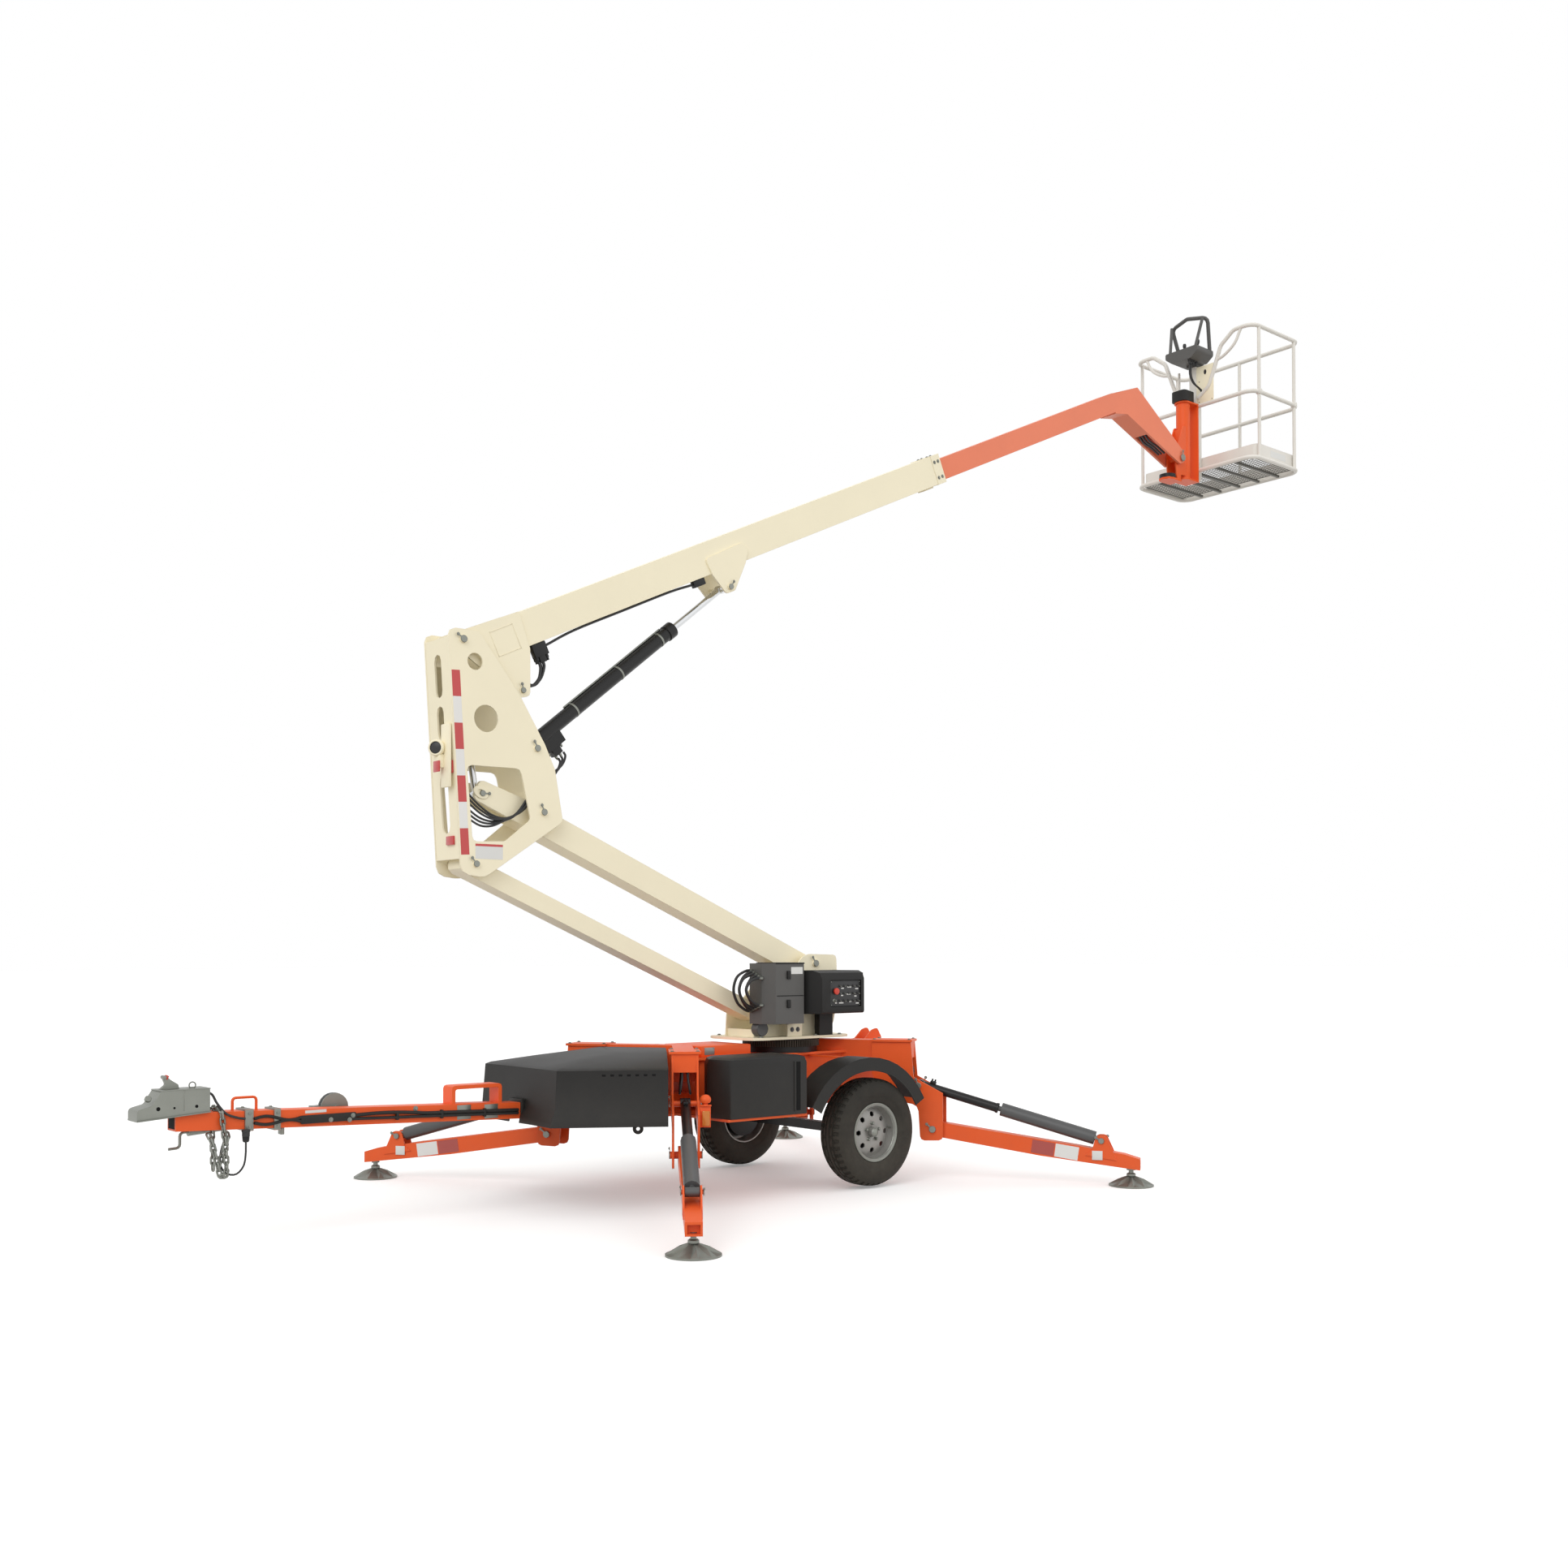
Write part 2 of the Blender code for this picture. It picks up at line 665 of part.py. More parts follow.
# Jack, swung up beside the tongue on its far side: tube, fork, wheel and crank.
JACK_Y = TONGUE_WIDTH / 2 + 0.075
JACK_WHEEL = (-3.191, 0.680)
jack_head, jack_foot = (-4.010, JACK_Y, 0.606), (JACK_WHEEL[0] - 0.100, JACK_Y, 0.664)
jack_pieces = [
    rod(jack_head, jack_foot, 0.028, 12),
    box((-3.690, -3.590), (TONGUE_WIDTH / 2 + CLAMP_PROUD + SEAT, JACK_Y), (0.625, 0.665)),
    tube(
        bent(
            [
                (-3.990, JACK_Y, 0.60),
                (-4.050, JACK_Y, 0.600),
                (-4.050, JACK_Y, 0.520),
                (-4.110, JACK_Y, 0.516),
            ],
            0.02,
        ),
        0.008,
        6,
        up=(0, 1, 0),
    ),
    pin_at(JACK_WHEEL, JACK_Y, 0.046, 0.012, 10),
    pin_at(JACK_WHEEL, JACK_Y, 0.022, 0.082, 20),
]
for side in (-1, 1):
    leaf = sorted((JACK_Y + side * 0.028, JACK_Y + side * 0.034))
    jack_pieces.append(box((JACK_WHEEL[0] - 0.130, JACK_WHEEL[0] + 0.020), leaf, (0.645, 0.695)))
jack_pieces.append(
    box(
        (JACK_WHEEL[0] - 0.130, JACK_WHEEL[0] - 0.095),
        (JACK_Y - 0.030, JACK_Y + 0.030),
        (0.645, 0.695),
    )
)
node("tongue_jack", ZINC, machine, jack_pieces)

# Safety chain, thrown over the tongue: every link is turned a quarter from the one before.
CHAIN_X = -3.905
CHAIN_WIRE = 0.0055
CHAIN_PITCH = 0.042
chain_top = tongue_z(CHAIN_X) + 3.6 * CHAIN_WIRE
chain_side = TONGUE_WIDTH / 2 + 3.6 * CHAIN_WIRE
chain_path = curve(
    [
        (CHAIN_X + 0.015, -chain_side - 0.012, 0.372),
        (CHAIN_X + 0.010, -chain_side - 0.004, 0.520),
        (CHAIN_X, -chain_side, chain_top - 0.036),
        (CHAIN_X, -chain_side + 0.001, chain_top - 0.001),
        (CHAIN_X, -chain_side + 0.036, chain_top),
        (CHAIN_X, chain_side - 0.036, chain_top),
        (CHAIN_X, chain_side - 0.001, chain_top - 0.001),
        (CHAIN_X, chain_side, chain_top - 0.036),
        (CHAIN_X + 0.010, chain_side + 0.004, 0.520),
        (CHAIN_X + 0.015, chain_side + 0.012, 0.372),
    ],
    8,
)


def links(path, pitch, wire):
    """Chain links strung along a path, each a flat loop of round wire that touches the next."""
    lengths = [0.0]
    for here, following in zip(path, path[1:]):
        lengths.append(lengths[-1] + (following - here).length)
    count = int(lengths[-1] / pitch)
    stations = []
    for n in range(count + 1):
        goal = lengths[-1] * n / count
        k = max(i for i in range(len(path) - 1) if lengths[i] <= goal)
        share = (goal - lengths[k]) / (lengths[k + 1] - lengths[k])
        stations.append(path[k].lerp(path[k + 1], share))
    made = []
    for n, (start, end) in enumerate(zip(stations, stations[1:])):
        along = (end - start).normalized()
        flat = along.cross(Vector((1, 0, 0))).normalized()
        across = flat if n % 2 else along.cross(flat)
        reach = (end - start).length / 2 + wire * 0.30
        loop = []
        for a, b in ((-1, 0), (-0.6, 1), (0.6, 1), (1, 0), (0.6, -1), (-0.6, -1)):
            loop.append((start + end) / 2 + along * a * reach + across * b * wire * 2.0)
        made.append(tube(loop, wire, 4, True, up=along.cross(across)))
    return made


saddle_low = tongue_z(CHAIN_X - 0.012) + SEAT
saddle = box((CHAIN_X - 0.012, CHAIN_X + 0.012), (-0.032, 0.032), (saddle_low, chain_top))
node("safety_chain", ZINC, machine, [saddle, *links(chain_path, CHAIN_PITCH, CHAIN_WIRE)])

# Plug of the towing vehicle's lights, parked on the tongue's side, and its cable's loop
PLUG_X, PLUG_LOW = -3.781, 0.550
plug_y = -(TONGUE_WIDTH / 2 + CLAMP_PROUD + 0.0225 + SEAT)
plug_profile = [
    (0.0, 0.0),
    (0.011, 0.0),
    (0.013, 0.014),
    (0.021, 0.016),
    (0.021, 0.052),
    (0.0225, 0.054),
    (0.0225, 0.066),
    (0.0, 0.066),
]
node("tow_plug", BLACK, machine, [turned(plug_profile, 16, at=(PLUG_X, plug_y, PLUG_LOW))])
hose(
    "tow_cable",
    BLACK,
    machine,
    [
        (PLUG_X, plug_y, PLUG_LOW - SEAT),
        (PLUG_X, plug_y, 0.500),
        (PLUG_X - 0.010, plug_y, 0.430),
        (PLUG_X - 0.045, plug_y + 0.010, 0.385),
        (PLUG_X - 0.090, plug_y + 0.025, 0.388),
        (PLUG_X - 0.118, plug_y + 0.045, 0.430),
        (PLUG_X - 0.112, plug_y + 0.060, 0.500),
        (PLUG_X - 0.080, 0.0, 0.565),
        (PLUG_X - 0.080, 0.0, tongue_z(PLUG_X - 0.080) - TONGUE_DEPTH - 0.001),
    ],
    0.011,
)

# Coupler: the galvanised head bolted over the tongue's nose, hollow underneath for the ball.
COUPLER_TOP = 0.846
COUPLER_LOW = 0.690
BALL_X = COUPLER_NOSE_X + 0.055
coupler_side = rounded(
    [
        (COUPLER_NOSE_X, COUPLER_LOW, 0.0),
        (-3.965, COUPLER_LOW + 0.028, 0.0),
        (-3.965, COUPLER_TOP, 0.01),
        (-4.215, COUPLER_TOP, 0.02),
        (-4.262, COUPLER_TOP - 0.075, 0.02),
        (COUPLER_NOSE_X, COUPLER_TOP - 0.095, 0.02),
    ]
)
coupler = [
    extruded(coupler_side, -0.072, 0.072),
]
coupler_cuts = [
    rod((BALL_X, 0, COUPLER_LOW - 0.02), (BALL_X, 0, COUPLER_LOW + 0.040), 0.030, 20),
    box(
        (-4.150 - 0.02, -3.90),
        (-TONGUE_WIDTH / 2 - SEAT, TONGUE_WIDTH / 2 + SEAT),
        (0.60, tongue_z(TONGUE_NOSE_X) + 0.003),
    ),
]
node("coupler", ZINC, machine, coupler, coupler_cuts)
latch = rounded(
    [
        (-4.205, COUPLER_TOP + SEAT, 0.0),
        (-4.105, COUPLER_TOP + SEAT, 0.0),
        (-4.110, COUPLER_TOP + 0.022, 0.008),
        (-4.150, COUPLER_TOP + 0.048, 0.010),
        (-4.172, COUPLER_TOP + 0.070, 0.004),
        (-4.190, COUPLER_TOP + 0.060, 0.004),
        (-4.175, COUPLER_TOP + 0.024, 0.010),
    ]
)
node(
    "coupler_latch",
    ZINC,
    machine,
    [
        extruded(latch, -0.012, 0.012),
        rod((-4.182, -0.020, COUPLER_TOP + 0.062), (-4.182, 0.020, COUPLER_TOP + 0.062), 0.010, 12),
    ],
)

# Slewing ring on the deck
ring_profile = [
    (0.17, DECK_Z + SEAT),
    (RING_RADIUS, DECK_Z + SEAT),
    (RING_RADIUS, RING_TOP_Z - SEAT),
    (0.17, RING_TOP_Z - SEAT),
]
node("slewing_ring", BLACK, machine, [turned(ring_profile, 32)])

# Covers: thin shells, open underneath. The hood is also open where it meets the frame's front beams, and
# its levels shrink and grow about the point where those beams meet.
HOOD_PLAN = [
    # x and y of the left half, from the nose round to the rear
    (-2.050, 0.200),
    (-2.060, 0.416),
    (HOOD_REAR_X - 0.770 / math.tan(math.radians(OUTRIGGER_HEADING)), 0.770),
    (HOOD_REAR_X, 0.0),
]
HOOD_LEVELS = [
    # share of the plan, height
    (1.050, 0.530),
    (1.040, 0.580),
    (1.016, 0.620),
    (1.000, 0.858),
    (0.970, 0.870),
    (0.800, 0.892),
    (0.480, 0.932),
]


def hood_ring(share, z, wall=0.0):
    """One level of the hood. With a wall it's the level inside it, which runs out through the rear."""
    half = []
    (bx, by), (cx, cy) = HOOD_PLAN[1:3]
    for k, (x, y) in enumerate(HOOD_PLAN):
        if wall and k < 2:
            x, y = x + wall, y - wall * k
        elif wall:
            slope = (cy - by) / (cx - bx)
            x, y = x + 12 * wall, y + (12 * wall * slope - 1.2 * wall if k == 2 else 0.0)
        half.append((HOOD_REAR_X + (x - HOOD_REAR_X) * share, y * share, z - wall))
    return [(x, -y, z) for x, y, z in half] + [(x, y, z) for x, y, z in reversed(half[:-1])]


hood_inside = [hood_ring(1.050, 0.500, COVER_WALL)]
hood_inside += [hood_ring(share, z, COVER_WALL) for share, z in HOOD_LEVELS]
notch_half = TONGUE_WIDTH / 2 + SEAT
notch = box(
    (-2.20, -1.90), (-notch_half, notch_half), (0.40, tongue_z(HOOD_PLAN[0][0] - 0.06) + SEAT)
)
hood_outside = [hood_ring(share, z) for share, z in HOOD_LEVELS]
node("front_hood", DARK, machine, [loft(hood_outside)], [loft(hood_inside), notch])

cover_plan = [
    (-0.455, 0.440, 0.0),
    (-0.455, SIDE_HALF, 0.010),
    (-1.070, SIDE_HALF, 0.020),
    (-1.105, 0.610, 0.010),
    (-0.995, 0.440, 0.0),
]
COVER_TOP = 0.905
for label, side in (("left", -1), ("right", 1)):
    skins = []
    for wall, low in ((0.0, 0.536 + SEAT), (COVER_WALL, 0.500)):
        levels = []
        for lean, z in (
            (wall, low),
            (wall, COVER_TOP - 0.045 - wall),
            (wall + 0.012, COVER_TOP - 0.012 - wall),
            (wall + 0.040, COVER_TOP - wall),
        ):
            plan = rounded(
                [(x, y, max(radius, 0.002)) for x, y, radius in inset(cover_plan, lean)], 2
            )
            levels.append([(x, side * y, z) for x, y in plan])
        skins.append(loft(levels))
    node(f"side_cover_{label}", DARK, machine, skins[:1], skins[1:])

# Fenders: an arched sheet with a skirt on its outer edge
for label, side in (("left", -1), ("right", 1)):
    sections = []
    steps = 14
    for k in range(steps + 1):
        turn = math.radians(90 + FENDER_HALF_ANGLE - 2 * FENDER_HALF_ANGLE * k / steps)
        section = []
        for radius, y in (
            (FENDER_RADIUS, SIDE_HALF - FENDER_WIDTH),
            (FENDER_RADIUS, SIDE_HALF),
            (FENDER_RADIUS - FENDER_SKIRT, SIDE_HALF),
            (FENDER_RADIUS - FENDER_SKIRT, SIDE_HALF - COVER_WALL),
            (FENDER_RADIUS - COVER_WALL, SIDE_HALF - COVER_WALL),
            (FENDER_RADIUS - COVER_WALL, SIDE_HALF - FENDER_WIDTH),
        ):
            section.append(
                (FENDER_X + radius * math.cos(turn), side * y, FENDER_Z + radius * math.sin(turn))
            )
        sections.append(section)
    node(f"fender_{label}", DARK, machine, [loft(sections)])

# Axle, wheels and tyres
HUB_HALF = TRACK / 2
node(
    "axle",
    BLACK,
    machine,
    [
        box(
            (AXLE_X - AXLE_BAR / 2, AXLE_X + AXLE_BAR / 2),
            (-HUB_HALF + 0.13, HUB_HALF - 0.13),
            (AXLE_Z - AXLE_BAR / 2, AXLE_Z + AXLE_BAR / 2),
        ),
        rod((AXLE_X, -HUB_HALF - 0.027, AXLE_Z), (AXLE_X, HUB_HALF + 0.027, AXLE_Z), SPINDLE, 16),
    ],
)
half_tyre = TYRE_WIDTH / 2
tyre_profile = [
    (
        RIM_RADIUS + SEAT, -0.078
    ), (0.225, -0.092), (0.272, -half_tyre), (0.315, -0.096), (0.345, -0.072), (TYRE_RADIUS, -0.030),
    (TYRE_RADIUS, 0.030), (0.345, 0.072), (0.315, 0.096), (0.272, half_tyre), (0.225, 0.092),
    (RIM_RADIUS + SEAT, 0.078),
]
# the rim and hub as (radius, distance outboard of the wheel's middle), from the hub's cap round to its bore
rim_profile = [
    (0.0, 0.078), (0.030, 0.074), (0.034, 0.038), (0.080, 0.050), (0.125, 0.044), (0.160, 0.028),
    (0.176, 0.082), (RIM_RADIUS, 0.082),
    (RIM_RADIUS, -0.082), (0.182, -0.082), (0.172, 0.014), (0.154, 0.018), (0.120, 0.036),
    (0.080, 0.042), (0.036, 0.028),
    (0.036, -0.060), (SPINDLE + SEAT, -0.060), (SPINDLE + SEAT, 0.028), (0.0, 0.028),
]
for label, side in (("left", -1), ("right", 1)):
    wheel = frame(f"axis_wheel_{label}", machine, (AXLE_X, side * HUB_HALF, AXLE_Z))
    node(
        f"tyre_{label}", RUBBER, wheel, [turned([(r, side * y) for r, y in tyre_profile], 24, "Y")]
    )
    holes = []
    for k in range(8):
        turn = 2 * math.pi * k / 8
        x, z = 0.118 * math.cos(turn), 0.118 * math.sin(turn)
        holes.append(rod((x, side * 0.005, z), (x, side * 0.090, z), 0.019, 6))
    node(
        f"wheel_{label}",
        SILVER,
        wheel,
        [turned([(r, side * y) for r, y in rim_profile], 24, "Y")],
        holes,
    )

# Outriggers: arm, pad, and a cylinder whose rod carries a guard tube that slides over the barrel.
top_x, top_z = outrigger_point(ARM_CYLINDER_TOP)
foot_x, foot_z = outrigger_point(ARM_CYLINDER_FOOT)
cylinder_length, cylinder_angle = direction((top_x, top_z), (foot_x, foot_z))
tip_x, _ = outrigger_point((ARM_TIP, 0))
pad_x, _ = outrigger_point((0.0, 0))
arm_drop = ARM_PIVOT[1] - ARM_TIP_Z
ARM_TILT = math.degrees(math.atan2(arm_drop, tip_x))


def arm_z(x):
    """The height of the arm's centre line above its pivot."""
    return -arm_drop * x / tip_x


def pad_piece():
    """A dished foot with eight ribs, hub and spindle."""
    sides = 24
    sections = []
    # radius, height between ribs, height on a rib
    for radius, web_z, rib_z in (
        (PAD_RADIUS, 0.0, 0.0),
        (PAD_RADIUS, 0.010, 0.010),
        (0.085, 0.028, 0.046),
        (0.040, 0.050, 0.062),
        (0.016, 0.066, 0.066),
        (0.016, ARM_TIP_Z, ARM_TIP_Z),
    ):
        ring = []
        for k in range(sides):
            turn = 2 * math.pi * (k + 0.5) / sides
            z = rib_z if k % 3 == 0 else web_z
            ring.append((pad_x + radius * math.cos(turn), radius * math.sin(turn), z))
        sections.append(ring)
    return loft(sections)


for name, foot, side, fore in CORNERS:
    at, heading = outrigger_place(foot, side, fore)
    base = frame(f"outrigger_{name}", machine, at, about_z=heading)
    arm = frame(f"axis_arm_{name}", base, (0, 0, ARM_PIVOT[1]))
    half = ARM_WIDTH / 2
    deep = ARM_DEPTH / 2
    arm_outline = rounded(
        [
            (-0.050, arm_z(-0.05) - deep, 0.03),
            (0.72, arm_z(0.72) - deep - 0.006, 0.0),
            (tip_x, arm_z(tip_x) - deep * 0.76, 0.0),
            (tip_x, arm_z(tip_x) + deep * 0.70, 0.0),
            (1.270, arm_z(1.27) + deep, 0.0),
            (0.98, arm_z(0.98) + deep + 0.004, 0.0),
            (-0.050, arm_z(-0.05) + deep, 0.03),
        ]
    )
    ear_z = foot_z - ARM_PIVOT[1]
    ear = rounded(
        [
            (foot_x - 0.105, arm_z(foot_x - 0.105), 0.0),
            (foot_x - 0.060, arm_z(foot_x) + deep, 0.0),
            (foot_x - 0.034, ear_z + 0.034, 0.028),
            (foot_x + 0.030, ear_z + 0.034, 0.028),
            (foot_x + 0.075, arm_z(foot_x) + deep, 0.0),
            (foot_x + 0.100, arm_z(foot_x + 0.10), 0.0),
        ]
    )
    arm_pieces = [extruded(arm_outline, -half + 0.006, half - 0.006)]
    for edge in (-1, 1):
        near, far = edge * (half - 0.010), edge * half
        arm_pieces.append(extruded(ear, min(near, far), max(near, far)))
        arm_pieces.append(
            rod(
                (foot_x, edge * (half - 0.012), ear_z),
                (foot_x, edge * (half + 0.006), ear_z),
                0.013,
                12,
            )
        )
    arm_cuts = [
        eye(0.0, 0.0, 0.022),
        rod((pad_x, 0, -0.5), (pad_x, 0, arm_z(pad_x)), 0.017 + SEAT),
        box(
            (pad_x + 0.02, tip_x + 0.05),
            (-half + 0.018, half - 0.018),
            (arm_z(tip_x) - deep * 0.55, arm_z(tip_x) + deep * 0.42),
        ),
    ]
    node(f"outrigger_arm_{name}", ORANGE, arm, arm_pieces, arm_cuts)
    pad = pad_piece()
    pad.data.transform(Matrix.Translation((0, 0, -ARM_PIVOT[1])))
    node(f"outrigger_pad_{name}", ZINC, arm, [pad])
    barrel = frame(f"axis_arm_barrel_{name}", base, (top_x, 0, top_z), about_y=-cylinder_angle)
    lug = pin(0.0, 0.0, 0.030, 0.034, 12)
    node(
        f"outrigger_barrel_{name}",
        BLACK,
        barrel,
        [rod((0.025, 0, 0), (ARM_BARREL_LENGTH, 0, 0), 0.031, 12), lug],
        [
            eye(0.0, 0.0, 0.018),
            rod((0.045, 0, 0), (ARM_BARREL_LENGTH + 0.01, 0, 0), 0.018 + SLIDING),
        ],
    )
    rod_frame = frame(f"axis_arm_rod_{name}", barrel)
    guard_start, guard_end = cylinder_length - ARM_GUARD_LENGTH, cylinder_length - 0.045
    guard_profile = [
        (0.0, guard_end),
        (0.045, guard_end),
        (0.045, guard_start),
        (0.031 + RUNNING, guard_start),
        (0.031 + RUNNING, guard_end - 0.015),
        (0.0, guard_end - 0.015),
    ]
    node(
        f"outrigger_rod_{name}",
        GREY,
        rod_frame,
        [
            turned(guard_profile, 12, "X"),
            pin(cylinder_length, 0.0, ARM_WIDTH / 2 - 0.012 - SLIDING, 0.026),
            rod((ARM_BARREL_LENGTH - 0.035, 0, 0), (cylinder_length, 0, 0), 0.018),
        ],
    )

# Slewing turret: base plate, two side plates with the pins of the tower's links, and end webs.
TABLE_TOP = RING_TOP_Z + TABLE_PLATE
T2 = (T1[0] + LINK_DROP[0], T1[1] + LINK_DROP[1])
table_outline = rounded(
    [(-0.46, -0.26, 0.10), (0.44, -0.26, 0.10), (0.44, 0.26, 0.10), (-0.46, 0.26, 0.10)]
)
turret_outline = rounded(
    [
        (-0.365, TABLE_TOP - 0.004, 0.0),
        (-0.355, T2[1] - 0.02, 0.0),
        (-0.350, T2[1] + 0.078, 0.06),
        (-0.215, T2[1] + 0.085, 0.04),
        (0.075, T1[1] + 0.050, 0.05),
        (0.130, T1[1] + 0.064, 0.02),
        (0.375, T1[1] + 0.058, 0.03),
        (0.390, T1[1] - 0.22, 0.0),
        (0.350, TABLE_TOP + 0.09, 0.05),
        (0.300, TABLE_TOP - 0.004, 0.0),
    ]
)
turret_pieces = [extruded(table_outline, RING_TOP_Z, TABLE_TOP, "Z")]
for side in (-1, 1):
    faces = sorted((side * TURRET_HALF, side * (TURRET_HALF - PLATE)))
    turret_pieces.append(extruded(turret_outline, *faces))
inside = TURRET_HALF - PLATE + 0.002
turret_pieces += [
    box((-0.352, -0.340), (-inside, inside), (TABLE_TOP - 0.004, TABLE_TOP + 0.050)),
    box((0.330, 0.342), (-inside, inside), (TABLE_TOP - 0.004, T1[1] - 0.16)),
    pin(*T1, TURRET_HALF + 0.012, 0.024),
    pin(*T2, TURRET_HALF - 0.002, 0.020),
]
node("turret", CREAM, slew, turret_pieces)
CONTROL_Y = -(TURRET_HALF + SEAT)
box_outline = rounded(
    [
        (-0.165 - 0.235, CONTROL_Y, 0),
        (-0.400, -0.28, 0),
        (-0.345, -0.360, 0.0),
        (-0.095, -0.360, 0.01),
        (-0.085, CONTROL_Y, 0),
    ]
)
node("pump_cover", GREY, slew, [extruded(box_outline, 1.075, 1.475, "Z")])
ctrl_profile = rounded(
    [(CONTROL_Y, 1.135, 0), (CONTROL_Y, 1.425, 0), (-0.420, 1.425, 0.055), (-0.420, 1.135, 0.015)]
)
ctrl_corner = rounded(
    [
        (-0.20, -0.50, 0),
        (0.010, -0.50, 0),
        (0.010, -0.420, 0.030),
        (-0.070, -0.300, 0.030),
        (-0.070, -0.10, 0),
        (-0.20, -0.10, 0),
    ]
)
node(
    "ground_controls",
    GREY,
    slew,
    [
        extruded(ctrl_profile, -0.070, 0.392, "X"),
        box((0.135, 0.255), (-0.250, -0.200), (TABLE_TOP + SEAT, 1.150)),
    ],
    [
        extruded(ctrl_corner, 1.10, 1.50, "Z"),
        box((0.085, 0.365), (-0.43, -0.408), (1.180, 1.360)),
    ],
)
hose(
    "turret_hose",
    BLACK,
    slew,
    [
        (-0.400 - SEAT, -0.215, 1.400),
        (-0.450, -0.215, 1.400),
        (-0.520, -0.220, 1.370),
        (-0.560, -0.225, 1.290),
        (-0.520, -0.230, 1.210),
        (-0.450, -0.235, 1.180),
        (-0.400 - SEAT, -0.235, 1.180),
    ],
    0.026,
)
node(
    "ground_stop",
    RED,
    slew,
    [
        turned(
            [
                (0.0, 0.0),
                (0.010, 0.0),
                (0.010, 0.012),
                (0.022, 0.016),
                (0.022, 0.026),
                (0.0, 0.032),
            ][::-1],
            20,
            "Y",
        )
    ],
)
bpy.data.objects["ground_stop"].data.transform(
    Matrix.Translation((0.130, -0.408 - SEAT, 1.285)) @ Matrix.Rotation(math.pi, 4, "Z")
)

# Tower links, in axes whose +X runs back from the upright to the turret.
link_outer = UPPER_LINK_TOP - UPPER_LINK_DEPTH
link_shape = rounded(
    [
        (-LINK_LENGTH - LEVER_REACH - 0.045, -LEVER_DROP - 0.055, 0.03),
        (0.060, link_outer, 0.05),
        (0.060, UPPER_LINK_TOP, 0.04),
        (-LINK_LENGTH - 0.02, UPPER_LINK_TOP, 0.0),
        (-LINK_LENGTH - LEVER_REACH - 0.045, -LEVER_DROP + 0.070, 0.03),
    ]
)
fork = box((-LINK_LENGTH - LEVER_REACH - 0.10, -LINK_LENGTH - 0.13), (-0.060, 0.060), (-0.30, 0.20))
node(
    "upper_link",
    CREAM,
    link_frame,
    [
        extruded(link_shape, -UPPER_LINK_HALF, UPPER_LINK_HALF),
        pin(-LINK_LENGTH, 0, UPRIGHT_HALF - PLATE - 0.006, 0.040),
        pin(0.0, 0, TURRET_HALF - PLATE - 0.006, 0.040),
    ],
    [fork, eye(0.0, 0.0, 0.024), eye(-LINK_LENGTH, 0.0, 0.022)],
)
lower_shape = rounded(
    [
        (-LINK_LENGTH - 0.058, LOWER_LINK_TOP - LOWER_LINK_DEPTH, 0.045),
        (0.058, LOWER_LINK_TOP - LOWER_LINK_DEPTH, 0.045),
        (0.058, LOWER_LINK_TOP, 0.045),
        (-LINK_LENGTH - 0.058, LOWER_LINK_TOP, 0.045),
    ]
)
node(
    "lower_link",
    CREAM,
    lower_frame,
    [
        extruded(lower_shape, -LOWER_LINK_HALF, LOWER_LINK_HALF),
        pin(-LINK_LENGTH, 0, UPRIGHT_HALF - PLATE - 0.006, 0.034),
        pin(0.0, 0, TURRET_HALF - PLATE - 0.006, 0.034),
    ],
    [eye(0.0, 0.0, 0.020), eye(-LINK_LENGTH, 0.0, 0.020)],
)

# Upright: a channel open to the rear, in axes from the upper link's pin.
upright_outline = rounded(
    [
        (*UPRIGHT_HEAD, 0.045),
        (-0.440, 1.036, 0.050),
        (-0.170, 0.696, 0.0),
        (0.010, 0.406, 0.05),
        (0.079, 0.262, 0.03),
        (0.136, -0.052, 0.03),
        (-0.400, -0.405, 0.10),
        (*UPRIGHT_FOOT, 0.06),
    ]
)
window = rounded(
    [
        (-0.518, 0.248, 0.03),
        (-0.160, 0.250, 0.04),
        (-0.090, -0.050, 0.03),
        (-0.262, -0.186, 0.03),
        (-0.480, -0.196, 0.03),
    ]
)
upright_pieces = []
for side in (-1, 1):
    faces = sorted((side * UPRIGHT_HALF, side * (UPRIGHT_HALF - PLATE)))
    upright_pieces.append(extruded(upright_outline, *faces))


def front_edge(z):
    """The x of the upright's front edge at a height above the upper link's pin."""
    (foot_x, foot_z), (head_x, head_z) = UPRIGHT_FOOT, UPRIGHT_HEAD
    return foot_x + (head_x - foot_x) * (z - foot_z) / (head_z - foot_z)


inside = UPRIGHT_HALF - PLATE + 0.002
low, high = -0.300, 0.985
web = [
    (front_edge(low) + 0.002, low),
    (front_edge(low) + 0.014, low),
    (front_edge(high) + 0.014, high),
    (front_edge(high) + 0.002, high),
]
upright_pieces.append(extruded(web, -inside, inside))
lug_x, lug_z = TOWER_CYLINDER_TOP
lug = rounded(
    [
        (front_edge(lug_z - 0.040) + 0.006, lug_z - 0.040, 0.0),
        (lug_x + 0.030, lug_z - 0.030, 0.028),
        (lug_x + 0.030, lug_z + 0.030, 0.028),
        (front_edge(lug_z + 0.040) + 0.006, lug_z + 0.040, 0.0),
    ]
)
for side in (-1, 1):
    upright_pieces.append(extruded(lug, *sorted((side * 0.046, side * 0.058))))
